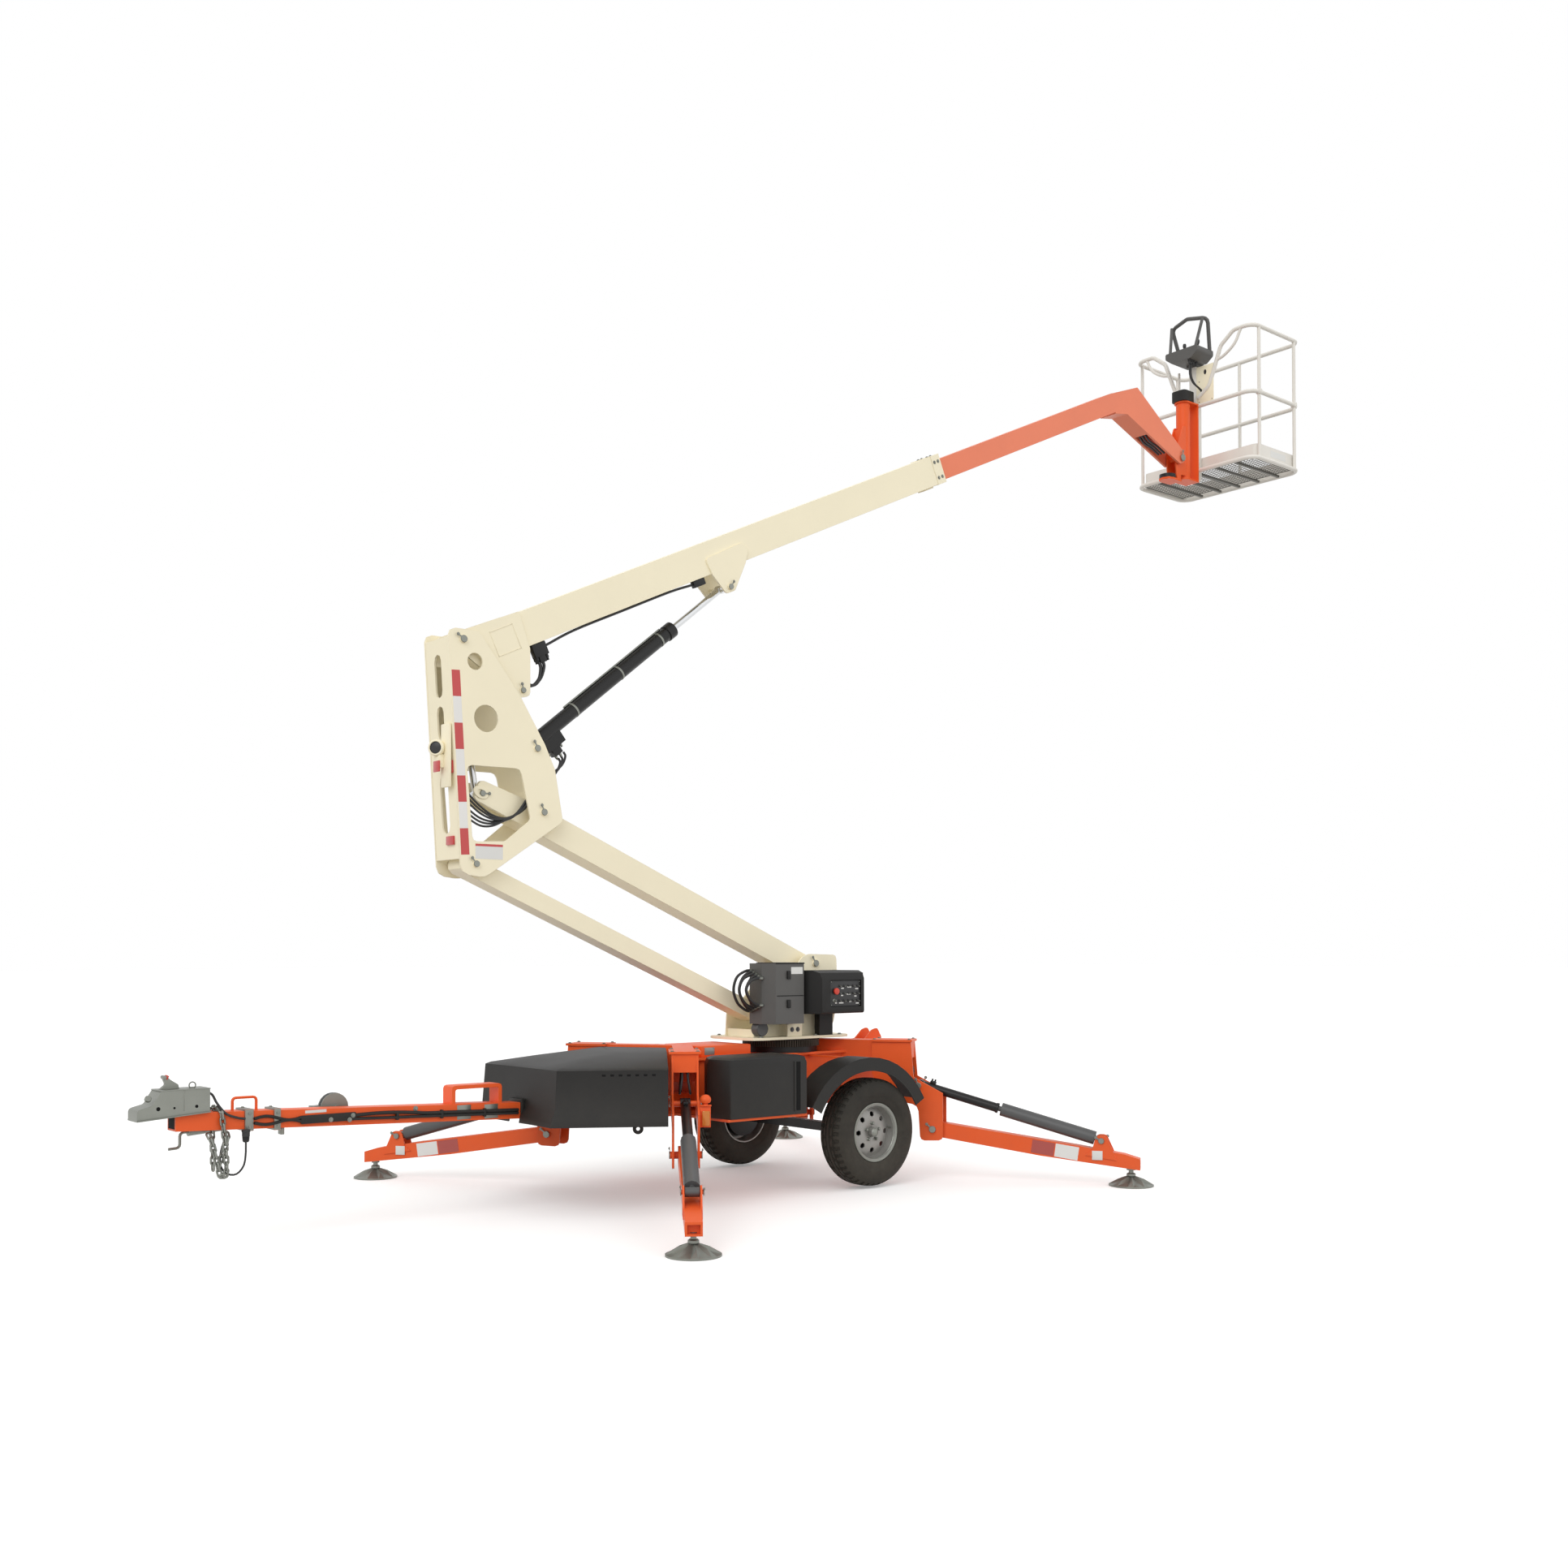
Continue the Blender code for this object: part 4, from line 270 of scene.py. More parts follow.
TONGUE_NOSE = (-4.140, 0.724)
TONGUE_SLOPE = -0.0352
TONGUE_DEPTH = 0.096
TONGUE_HALF = 0.060


def tongue_z(x):
    """The height of the top of the tongue, which rises towards its nose."""
    return TONGUE_NOSE[1] + TONGUE_SLOPE * (x - TONGUE_NOSE[0])


CABLE_DIAMETER = 0.011
PLUG_X, PLUG_Y, PLUG_LOW = -3.781, -0.0908, 0.550
SEAT = 0.0003
CABLE_IN = PLUG_X - 0.080
cable_end = (CABLE_IN, 0.0, tongue_z(CABLE_IN) - TONGUE_DEPTH - 0.001)
cable_route = [
    (PLUG_X + along, PLUG_Y + inward, z)
    for along, inward, z in (
        (0.0, 0.0, PLUG_LOW - SEAT), (0.0, 0.0, 0.500), (-0.010, 0.0, 0.430), (-0.045, 0.010, 0.385),
        (-0.090, 0.025, 0.388), (-0.118, 0.045, 0.430), (-0.112, 0.060, 0.500), (-0.080, -PLUG_Y, 0.565),
    )
]
cable_path = smooth_path(cable_route + [cable_end], 3)
cable_path = [MACHINE @ point for point in cable_path[:1] + cable_path[3:-3] + cable_path[-1:]]
cable_length = sum((b - a).length for a, b in zip(cable_path, cable_path[1:]))
tow_cable = round_bar("tow_lead", cable_path, CABLE_DIAMETER / 2)
tow_cable.data.materials.append(hose_rubber[0])
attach(tow_cable, "chassis")
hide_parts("tow_cable")

# The plug: a moulded body with a ribbed grip, a collar and a spring lid over its pins.
EDGE_ANGLE = math.radians(32.0)


def join(target, shape):
    """A shape moved into another one."""
    draft = bpy.data.meshes.new("draft")
    shape.to_mesh(draft)
    shape.free()
    target.from_mesh(draft)
    bpy.data.meshes.remove(draft)


def dressed(bm, name, body, paint, nodes, edge=EDGE_ANGLE):
    """The piece made of a shape: smooth but for its sharp edges, painted and on its body."""
    for face in bm.faces:
        face.smooth = True
        face.material_index = 0
    for link in bm.edges:
        link.smooth = len(link.link_faces) == 2 and link.calc_face_angle(0.0) < edge
    mesh = bpy.data.meshes.new(name)
    bm.to_mesh(mesh)
    bm.free()
    material, slot = paint
    mesh.materials.append(material)
    made = linked(name, mesh)
    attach(made, body)
    if nodes:
        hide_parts(*nodes)
    return made


class Piece:
    """A new piece: shapes are taken in where they belong, and then it is hung on its body."""

    def __init__(self, name, base=MACHINE):
        self.name = name
        self.base = base
        self.bm = bmesh.new()

    def take(self, shape, place=Matrix()):
        shape.transform(self.base @ place)
        bmesh.ops.recalc_face_normals(shape, faces=shape.faces)
        join(self.bm, shape)
        return self

    def box(self, low, high, edge=0.0, place=Matrix()):
        return self.take(block(low, high, edge), place)

    def label(self, span, rise, face, thick, side, edge=0.0, place=Matrix()):
        """A thin plate on a side face, over a span along it and a rise up it."""
        inner, outer = sorted((side * face, side * (face + thick)))
        self.box((span[0], inner, rise[0]), (span[1], outer, rise[1]), edge, place)

    def tube(self, route, radius, steps=6):
        """A round hose or bar on a smooth route through points."""
        self.take(bar(smooth_path(route, steps), radius, 12))

    def bolts(self, radius, places, side=0, washer=True):
        for place in places:
            self.take(bolt(radius, washer), facing(place, side))

    def keepers(self, x, y, z, radius, strap, near, far=None):
        """The keepers on both ends of a pin. near and far are the turns of their straps."""
        for side, turn in ((-1, near), (1, near if far is None else far)):
            self.take(keeper(radius, strap, turn), facing((x, side * y, z), side))

    def hang(self, body, paint, *nodes, edge=EDGE_ANGLE):
        return dressed(self.bm, self.name, body, paint, nodes, edge)


def block(low, high, edge=0.0):
    """A block between two corners, its edges rounded by a radius."""
    shape = bmesh.new()
    bmesh.ops.create_cube(shape, size=1.0)
    low, high = Vector(low), Vector(high)
    bmesh.ops.scale(shape, vec=high - low, verts=shape.verts)
    bmesh.ops.translate(shape, vec=(low + high) / 2, verts=shape.verts)
    if edge:
        bevelled(shape, shape.edges[:], edge, 2)
    return shape


def bevelled(shape, edges, radius, segments):
    """Edges of a shape rounded off."""
    bmesh.ops.bevel(
        shape, geom=edges, offset=radius, segments=segments, affect="EDGES", profile=0.5, material=-1
    )


def spun(profile, steps=32, ring=False):
    """A profile of (radius, height) spun round Z: a closed ring, or else closed by flat ends."""
    if not ring:
        low, high = ([(0.0, height)] if radius else [] for radius, height in (profile[0], profile[-1]))
        profile = low + profile + high
    shape = bmesh.new()
    verts = [shape.verts.new((radius, 0.0, height)) for radius, height in profile]
    edges = [shape.edges.new(pair) for pair in zip(verts, verts[1:])]
    if ring:
        edges.append(shape.edges.new((verts[-1], verts[0])))
    full = {"cent": (0, 0, 0), "axis": (0, 0, 1), "angle": 2 * math.pi}
    bmesh.ops.spin(shape, geom=verts + edges, steps=steps, use_merge=True, **full)
    bmesh.ops.remove_doubles(shape, verts=shape.verts, dist=1e-6)
    return shape


plug = Piece("tow_plug_body")
plug_profile = [(0.013, 0.0), (0.0155, 0.003)]
for k in range(5):
    low, rib = 0.006 + 0.0045 * k, 0.0180 + 0.0004 * k
    plug_profile += [(0.0160, low), (rib, low + 0.001), (rib, low + 0.003), (0.0160, low + 0.004)]
plug_profile += [(0.0200, 0.030), (0.0205, 0.052), (0.0225, 0.054), (0.0225, 0.064), (0.0210, 0.066)]
plug.take(spun(plug_profile), at(PLUG_X, PLUG_Y, PLUG_LOW))
tow_plug = plug.hang("chassis", hose_rubber, "tow_plug")

# The floor: a wide pale sheet. The camera and glossy surfaces see it as paper white with the
# lift's soft shadow on it, and other rays see a duller floor, so that the undersides stay shaded.
FLOOR_HALF = 120.0
FLOOR_COLOUR = (0.90, 0.90, 0.90, 1.0)
FLOOR_GLOW = 0.22
FLOOR_BOUNCE = (0.50, 0.49, 0.47, 1.0)

floor_bm = bmesh.new()
bmesh.ops.create_grid(floor_bm, x_segments=1, y_segments=1, size=FLOOR_HALF)
floor_mesh = bpy.data.meshes.new("floor")
floor_bm.to_mesh(floor_mesh)
floor_bm.free()
linked("floor", floor_mesh)
floor_paint = bpy.data.materials.new("floor_paint")
floor_paint.use_nodes = True
floor_paint.node_tree.nodes.remove(floor_paint.node_tree.nodes["Principled BSDF"])
shading = Shading(floor_paint.node_tree)


def seen_directly(shading):
    """1 for rays from the camera, a mirror or glass, and 0 for the light that lands elsewhere."""
    camera_ray, glossy_ray, clear_ray = (
        shading.node("LightPath", out=f"Is {kind} Ray") for kind in ("Camera", "Glossy", "Transmission")
    )
    return camera_ray.at_least(glossy_ray).at_least(clear_ray)


paper = shading.node("BsdfDiffuse", sockets={"Color": FLOOR_COLOUR})
glow = shading.node("Emission", sockets={"Strength": FLOOR_GLOW})
shown = shading.node("AddShader", sockets={0: paper, 1: glow})
bounce = shading.node("BsdfDiffuse", sockets={"Color": FLOOR_BOUNCE})
shading.end(shading.node("MixShader", sockets={0: seen_directly(shading), 1: bounce, 2: shown}))
floor_mesh.materials.append(floor_paint)

# The light: an even dome, a little brighter towards the horizon, and two broad soft lamps.
DOME_LOW = 1.02
DOME_HIGH = 0.78
DOME_COLOUR = (1.0, 0.995, 0.985, 1.0)
world = bpy.data.worlds.new("studio")
world.use_nodes = True
bpy.context.scene.world = world
world.node_tree.nodes.remove(world.node_tree.nodes["Background"])
shading = Shading(world.node_tree)
upward = shading.node("SeparateXYZ", sockets={0: shading.node("TexCoord", out="Generated")}, out="Z")
dome_strength = DOME_LOW + upward.at_least(0.0) * (DOME_HIGH - DOME_LOW)
dome = shading.node("Background", sockets={"Color": DOME_COLOUR, "Strength": dome_strength})
backdrop = shading.node("Background", sockets={"Color": (1.0, 1.0, 1.0, 1.0), "Strength": 1.0})
shading.end(shading.node("MixShader", sockets={0: seen_directly(shading), 1: dome, 2: backdrop}))

for name, azimuth, elevation, strength, spread in (
    # compass turn of the lamp round the lift, height, strength and softness in degrees
    ("key", -150.0, 38.0, 0.82, 40.0),
    ("fill", -60.0, 25.0, 0.28, 60.0),
):
    lamp = bpy.data.lights.new(name, "SUN")
    lamp.energy = strength
    lamp.angle = math.radians(spread)
    turn, height = math.radians(azimuth), math.radians(elevation)
    flat = math.cos(height)
    towards = Vector((math.cos(turn) * flat, math.sin(turn) * flat, math.sin(height)))
    linked(name, lamp).rotation_euler = towards.to_track_quat("Z", "Y").to_euler()


# Chassis and tongue: laser-cut plate and tube, welded and powder-coated in one satin orange.
# The frame's own solids keep their shape and get their paint, dusty low down.
orange = finish(
    "orange_paint", "orange", (0.86, 0.112, 0.018), 0.42, grain=0.10, edge=(0.92, 0.26, 0.10), dust=0.10,
    gloss=0.3,
)
zinc = finish("galvanised_steel", "galvanised", (0.27, 0.28, 0.25), 0.42, 0.75, grain=0.30, tone=0.16)
black = finish("black_paint", "black_paint", (0.007, 0.007, 0.007), 0.38, grain=0.08, tone=0.10, gloss=0.35)
charcoal = finish(
    "charcoal_moulding", "dark_plastic", (0.013, 0.0125, 0.012), 0.50, grain=0.55, tone=0.12, dust=0.10,
    gloss=0.28,
)


def refinish(paint, *nodes):
    """Copies of frame nodes with their round faces shaded smooth, standing for the nodes."""
    for node in nodes:
        bm = bmesh.new()
        bm.from_mesh(frame["nodes"][node].data)
        bmesh.ops.remove_doubles(bm, verts=bm.verts, dist=1e-5)
        bmesh.ops.dissolve_limit(bm, angle_limit=math.radians(0.4), verts=bm.verts, edges=bm.edges)
        dressed(bm, f"{node}_finished", frame["nodes"][node]["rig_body"], paint, (node,))


refinish(orange, "chassis_frame", "tongue")
refinish(zinc, "coupler", "coupler_latch", "tongue_jack")


def cone(shape, segments, radii, low, height):
    """A round or many-sided cone added to a shape."""
    size = {"radius1": radii[0], "radius2": radii[1], "depth": height, "matrix": at(0, 0, height / 2 + low)}
    bmesh.ops.create_cone(shape, cap_ends=True, segments=segments, **size)


def bolt(radius, washer=True):
    """A hexagon head on its washer, standing up along Z."""
    height = radius * 0.75
    shape = bmesh.new()
    cone(shape, 6, (radius, radius * 0.97), 0.001, height)
    bevelled(shape, [e for e in shape.edges if all(v.co.z > height / 2 for v in e.verts)], radius * 0.12, 1)
    if washer:
        cone(shape, 20, (radius * 1.7, radius * 1.6), 0.0, radius * 0.18)
    return shape


def bar(path, radius, sides=8, closed=False):
    """A round bar along a path, as a shape."""
    curve_object = round_bar("draft", path, radius, sides // 4 - 1, closed)
    bpy.context.view_layer.update()
    mesh = bpy.data.meshes.new_from_object(curve_object)
    bpy.data.objects.remove(curve_object, do_unlink=True)
    shape = bmesh.new()
    shape.from_mesh(mesh)
    bpy.data.meshes.remove(mesh)
    bmesh.ops.remove_doubles(shape, verts=shape.verts, dist=1e-6)
    return shape


# Hardware on the tongue: two zinc straps with their bolts, pressed over the tongue, and the
# blank of the data plate, riveted to its near side.
straps = Piece("tongue_straps")
STRAP_HALF = TONGUE_HALF + 0.0086
for x, length in ((-3.753, 0.048), (-3.598, 0.038)):
    low, high = tongue_z(x) - TONGUE_DEPTH - 0.0106, tongue_z(x) + 0.0106
    straps.box((x - length / 2, -STRAP_HALF, low), (x + length / 2, STRAP_HALF, high), 0.003)
    for side in (-1, 1):
        straps.bolts(0.007, [(x, side * STRAP_HALF, z) for z in (low + 0.022, high - 0.022)], side)
    straps.bolts(0.008, [(x, 0.030, high)])
straps.box((-3.560, -0.022, 0.566), (-3.540, 0.022, 0.612), 0.003)
straps.hang("chassis", zinc)

plate_white = finish("blank_plate", "rail", (0.74, 0.74, 0.72), 0.35, tone=0.03, rounding=0.0005)
plates = Piece("tongue_plate")
plates.box((-3.440, -0.0606, tongue_z(-3.4) - 0.022), (-3.318, -0.0600, tongue_z(-3.4) - 0.006))
plates.hang("chassis", plate_white)

# Conduit: a black cover plate behind the straps, and from it two corrugated hoses that run back
# along the tongue's near side to the hood, held by clips.
COVER_Y = -(TONGUE_HALF + SEAT)
conduit = Piece("tongue_conduit_run")
cover_low, cover_high = (-3.470, COVER_Y - 0.020, -0.026), (-3.150, COVER_Y, 0.020)
conduit.box(cover_low, cover_high, 0.006, at(0, 0, tongue_z(-3.36) - 0.050))
for offset, radius in ((0.006, 0.0100), (-0.0125, 0.0085)):
    route = []
    for k in range(15):
        x = -3.170 + k * (3.170 - 2.112) / 14
        rise = 0.010 * math.sin(math.pi * min(k, 6) / 6) if offset > 0 else 0.0
        route.append((x, COVER_Y - 0.010, tongue_z(x) - 0.048 + offset + rise))
    conduit.tube(route, radius, 4)
for rise, sway in ((0.008, 0.012), (-0.014, -0.010)):
    route = []
    for k in range(9):
        x = -3.727 + k * 0.262 / 8
        route.append((x, COVER_Y - 0.0095, tongue_z(x) - 0.050 + rise + sway * math.sin(math.pi * k / 4)))
    conduit.tube(route, 0.0085, 4)
for x in (-2.90, -2.62, -2.34):
    clip_low, clip_high = (x - 0.008, COVER_Y - 0.0215, -0.028), (x + 0.008, COVER_Y, 0.022)
    conduit.box(clip_low, clip_high, 0.004, at(0, 0, tongue_z(x) - 0.048))
conduit.hang("chassis", charcoal, "tongue_conduit")
studs = Piece("conduit_bolts")
for x, z in ((-3.170, 0.010), (-3.190, -0.014), (-3.300, -0.010)):
    studs.bolts(0.008, [(x, COVER_Y - 0.0195, tongue_z(x) - 0.050 + z)], -1)
studs.bolts(0.009, [(-2.78, -TONGUE_HALF, tongue_z(-2.78) - 0.016)], -1)
for x in (-2.47, -2.29):
    studs.box((x - 0.045, -0.0612, -0.088), (x + 0.045, -0.0600, -0.004), 0.0005, at(0, 0, tongue_z(x)))
studs.hang("chassis", zinc)


# Safety chain: welded round-wire links, hung over the tongue in two falls on the near side and
# one on the far side. Each link is turned a quarter from the one before.
CHAIN_X = -3.905
CHAIN_WIRE = 0.0058
CHAIN_PITCH = 0.034
chain_top = tongue_z(CHAIN_X) + 0.0155
chain_side = TONGUE_HALF + 0.015


def chain_link(start, end, turned, wire):
    """One link: a long loop of wire that overlaps the next link's end."""
    along = (end - start).normalized()
    flat = along.cross(Vector((1.0, 0.13, 0.0))).normalized()
    across = flat if turned else along.cross(flat)
    half = (end - start).length / 2 + wire
    wide = wire * 2.05
    middle = (start + end) / 2
    loop = []
    for k in range(14):
        turn = 2 * math.pi * k / 14
        stretch = (half - wide) * (1 if math.cos(turn) > 0 else -1)
        loop.append(middle + along * (stretch + wide * math.cos(turn)) + across * (wide * math.sin(turn)))
    return bar(loop, wire, 8, True)


def spaced(path, pitch):
    """Points a pitch apart along a path."""
    found = [path[0]]
    left = pitch
    for here, following in zip(path, path[1:]):
        run = (following - here).length
        reached = 0.0
        while run - reached >= left:
            reached += left
            found.append(here.lerp(following, reached / run))
            left = pitch
        left -= run - reached
    return found


chain = Piece("safety_chain_links")
near, far = -chain_side, chain_side
for fall in (
    # x from the chain's middle, y and z, from the first fall over the tongue to the far one
    [
        (-0.060, near + 0.030, 0.602), (-0.052, near, 0.560), (-0.030, near - 0.004, 0.470),
        (-0.010, near - 0.006, 0.385), (0.010, near - 0.008, 0.372), (0.024, near - 0.006, 0.400),
        (0.020, near - 0.004, 0.520), (0.004, near - 0.002, chain_top - 0.060),
        (0.0, near + 0.006, chain_top - 0.012), (0.0, near + 0.040, chain_top),
        (0.0, far - 0.040, chain_top), (0.0, far - 0.006, chain_top - 0.012),
        (0.0, far + 0.002, chain_top - 0.060), (0.010, far + 0.004, 0.520), (0.015, far + 0.010, 0.372),
    ],
    [
        (0.034, near + 0.024, 0.604), (0.030, near - 0.002, 0.570), (0.006, near + 0.014, 0.480),
        (-0.016, near + 0.016, 0.400),
    ],
):
    stations = spaced(smooth_path([(CHAIN_X + x, y, z) for x, y, z in fall], 10), CHAIN_PITCH)
    for n, (start, end) in enumerate(zip(stations, stations[1:])):
        chain.take(chain_link(start, end, n % 2, CHAIN_WIRE))
lug_low, lug_high = tongue_z(CHAIN_X) - 0.001, chain_top - 0.008
chain.box((CHAIN_X - 0.012, -0.030, lug_low), (CHAIN_X + 0.012, 0.030, lug_high), 0.003)
chain.hang("chassis", zinc, "safety_chain", edge=math.radians(60))

# Coupler fittings: the pressed lip round the head's lower edge, its cross bolts and adjusting
# knob, the ring of the breakaway cable and the red grip of the latch.
COUPLER_NOSE, COUPLER_REAR = -4.338, -3.965
COUPLER_LOW, COUPLER_TOP, COUPLER_HALF = 0.690, 0.846, 0.072
fittings = Piece("coupler_fittings")
lip_slope = math.atan2(0.028, COUPLER_REAR - COUPLER_NOSE)
for side in (-1, 1):
    lip_start = at(COUPLER_NOSE, side * COUPLER_HALF, COUPLER_LOW + 0.004)
    lip_turn = flip(side) @ about("Y", -lip_slope)
    fittings.box((0.002, -0.004, -0.003), (0.374, 0.014, 0.003), 0.002, lip_start @ lip_turn)
    seam_low, seam_high = (-4.104, -0.002, 0.735), (-4.098, 0.0012, COUPLER_TOP - 0.004)
    fittings.box(seam_low, seam_high, 0.001, at(0, side * COUPLER_HALF, 0) @ flip(side))
rim_low = (-4.222, -0.0735, COUPLER_TOP - 0.006)
rim_high = (COUPLER_REAR + 0.003, 0.0735, COUPLER_TOP + 0.0002)
fittings.box(rim_low, rim_high, 0.002)
knob = [(0.015, 0.0), (0.017, 0.003), (0.017, 0.016), (0.014, 0.019)]
fittings.take(spun(knob, 18), facing((-4.281, -0.052, 0.800), -1) @ about("X", -0.6))
ring_turns = [2 * math.pi * k / 16 for k in range(16)]
ring_path = [Vector((0.017 * math.cos(turn), 0.0, 0.017 * math.sin(turn))) for turn in ring_turns]
fittings.take(bar(ring_path, 0.0035, 8, True), at(-4.040, -0.020, COUPLER_TOP + 0.015))
fittings.box((-4.052, -0.028, COUPLER_TOP), (-4.028, -0.012, COUPLER_TOP + 0.006), 0.002)
fittings.hang("chassis", zinc)
# Painted shade: a near-black finish for holes, slots and gaps, standing for the shadow inside them.
painted_shade_black = finish(
    "shadow_gap", "dark_plastic", (0.004, 0.004, 0.004), 0.8, tone=0.02, rounding=0.001, gloss=0.2
)
# The coupler's side holes are black discs and the opening low across it a thin black sheet: painted shade.
holes = Piece("coupler_holes")
for side in (-1, 1):
    for x, z, radius in ((-4.232, 0.752, 0.0105), (-4.150, 0.752, 0.006), (-4.035, 0.754, 0.0085)):
        holes.take(spun([(radius, -0.002), (radius, 0.0006)], 20), facing((x, side * COUPLER_HALF, z), side))
holes.box((-4.1406, -0.046, 0.638), (-4.1390, 0.046, 0.712))
holes.hang("chassis", painted_shade_black)
jack_tyre = Piece("jack_wheel_tyre")
tyre_half = [(0.046, 0.017), (0.078, 0.017), (0.0828, 0.010)]
tyre_ring = [(radius, -y) for radius, y in tyre_half] + tyre_half[::-1]
jack_tyre.take(spun(tyre_ring, 48, True), facing((-3.191, 0.135, 0.680), 1))
jack_tyre.hang("chassis", hose_rubber)
red_plastic = finish("red_button", "red_plastic", (0.62, 0.045, 0.022), 0.35, tone=0.03)
grip = Piece("latch_grip")
grip_end = at(-4.1735, 0.0, COUPLER_TOP + 0.056) @ about("Y", math.radians(28))
grip.box((-0.006, -0.0135, -0.004), (0.010, 0.0135, 0.018), 0.003, grip_end)
grip.hang("chassis", red_plastic)
brake_line = Piece("breakaway_cable")
brake_route = [
    (-3.966, -0.050, 0.820), (-3.945, -0.052, 0.805), (-3.925, -0.066, 0.760), (-3.880, -0.072, 0.705),
    (-3.820, -0.0725, 0.680), (-3.778, -0.0735, 0.672),
]
brake_line.tube(brake_route, 0.0065)
brake_line.hang("chassis", hose_rubber)

# Covers: rotomoulded charcoal shells with a fine orange-peel grain, bolted to the chassis.
# The hood has a row of louvres under its shoulder, and each side cover meets a rear panel.
refinish(charcoal, "front_hood", "side_cover_left", "side_cover_right", "fender_left", "fender_right")
HOOD_CORNER = (-2.060, 0.416)
HOOD_SIDE = (-0.975 - 0.770 / math.tan(math.radians(55.0)), 0.770)
COVER_HALF = 0.800
FENDER_X, FENDER_Z, FENDER_EDGE = 0.087, 0.292, 0.487


def hood_edge(side):
    """The two ends of the slanting side of the hood, on the floor."""
    return [Vector((x, side * y, 0)) for x, y in (HOOD_CORNER, HOOD_SIDE)]


# The louvre slots are black boxes set into the hood: painted shade.
louvres = Piece("hood_louvres")
for side in (-1, 1):
    corner, end = hood_edge(side)
    run = (end - corner).normalized()
    out = Vector((run.y, -run.x, 0))
    if out.y * side < 0:
        out = -out
    face = Matrix((run, out, Vector((0, 0, 1)))).transposed().to_4x4()
    for k in range(7):
        slot_place = at(*corner.lerp(end, 0.42 + 0.075 * k) + Vector((0, 0, 0.826)))
        louvres.box((-0.012, -0.006, -0.010), (0.012, 0.0022, 0.010), 0.002, slot_place @ face)
    # the recess between the side cover and its rear panel, as a black box of painted shade
    recess_place = at(0, side * COVER_HALF, 0) @ flip(side)
    louvres.box((-0.546, -0.004, 0.560), (-0.512, 0.0006, 0.864), 0.0, recess_place)
louvres.hang("chassis", painted_shade_black)
trim = Piece("cover_trim")
for side in (-1, 1):
    y = side * COVER_HALF
    # the lip beside the dark recess of the rear panel
    trim.box((-0.566, -0.004, 0.555), (-0.548, 0.006, 0.868), 0.004, at(0, y, 0))
    # the bead along the fender's outer edge
    rolled = []
    for k in range(41):
        turn = math.radians(90 + 61 - 122 * k / 40)
        reach, rise = FENDER_EDGE * math.cos(turn), FENDER_EDGE * math.sin(turn)
        rolled.append(Vector((FENDER_X + reach, y - side * 0.004, FENDER_Z + rise)))
    trim.take(bar(rolled, 0.006))
trim.box((-2.092, -0.072, 0.560), (-2.058, 0.072, 0.672), 0.006)
trim.hang("chassis", charcoal)
eyes = Piece("tie_down_eyes")
for side in (-1, 1):
    corner, end = hood_edge(side)
    along = about("Z", math.atan2((end - corner).y, (end - corner).x)) @ about("X", math.pi / 2)
    eye_place = at(*corner.lerp(end, 0.74) + Vector((0, -0.014 * side, 0.514))) @ along
    eye_ring = [(0.011, -0.005), (0.030, -0.005), (0.032, 0.0), (0.030, 0.005), (0.011, 0.005)]
    eyes.take(spun(eye_ring, 24, True), eye_place)
    eyes.box((-0.044, 0.016, -0.005), (0.044, 0.040, 0.005), 0.003, eye_place)
eyes.hang("chassis", charcoal)
Piece("deck_junction").box((-0.840, -0.205, 0.8725), (-0.430, 0.205, 0.944), 0.006).hang("chassis", orange)
silver = finish("silver_wheel", "silver", (0.31, 0.305, 0.29), 0.42, 0.55, grain=0.10, tone=0.08, dust=0.15)
deck_plate = Piece("deck_plate")
deck_plate.box((-0.815, -0.2075, 0.886), (-0.735, -0.2050, 0.934), 0.001)
plate_corners = [(x, -0.2070, z) for x in (-0.809, -0.741) for z in (0.892, 0.928)]
deck_plate.bolts(0.003, plate_corners, -1, washer=False)
deck_plate.hang("chassis", silver)

# Running gear: road tyres with ribbed treads on pressed steel wheels. The tyre's profile is spun
# and its shoulders get pushed-in tread notches, and five nuts hold each wheel on its hub.
refinish(black, "axle")
rubber = finish(
    "tyre_rubber", "tyre", (0.013, 0.012, 0.010), 0.72, grain=0.40, tone=0.12, dust=0.20, gloss=0.3
)
TYRE_STEPS = 90
half_profile = [
    (0.1923, 0.078), (0.2000, 0.0850), (0.2100, 0.0885), (0.2250, 0.0930), (0.2400, 0.0965),
    (0.2440, 0.0990), (0.2600, 0.0995), (0.2720, 0.1000), (0.2950, 0.0985), (0.3150, 0.0950),
    (0.3190, 0.0925), (0.3330, 0.0860), (0.3430, 0.0760), (0.3500, 0.0620), (0.3515, 0.0500),
    (0.3450, 0.0485), (0.3450, 0.0415), (0.3530, 0.0400), (0.3538, 0.0200), (0.3465, 0.0185),
    (0.3465, 0.0120), (0.3540, 0.0105),
]
tyre_profile = half_profile + [(radius, -y) for radius, y in reversed(half_profile)]
BEAD = [(0.168, 0.070), (0.180, 0.084), (0.190, 0.0865), (0.1935, 0.084), (0.1935, 0.078), (0.182, 0.070)]
NUT = [(0.015, 0.0), (0.0105, 0.006), (0.0105, 0.016), (0.007, 0.021), (0.0, 0.022)]
CAP = [(0.0, 0.086), (0.012, 0.085), (0.022, 0.081), (0.028, 0.074), (0.030, 0.066), (0.034, 0.040)]
DRUM = [(0.110, -0.070), (0.145, -0.064), (0.147, -0.010), (0.138, 0.004), (0.0, 0.012)]
NUT_CIRCLE = 0.0575
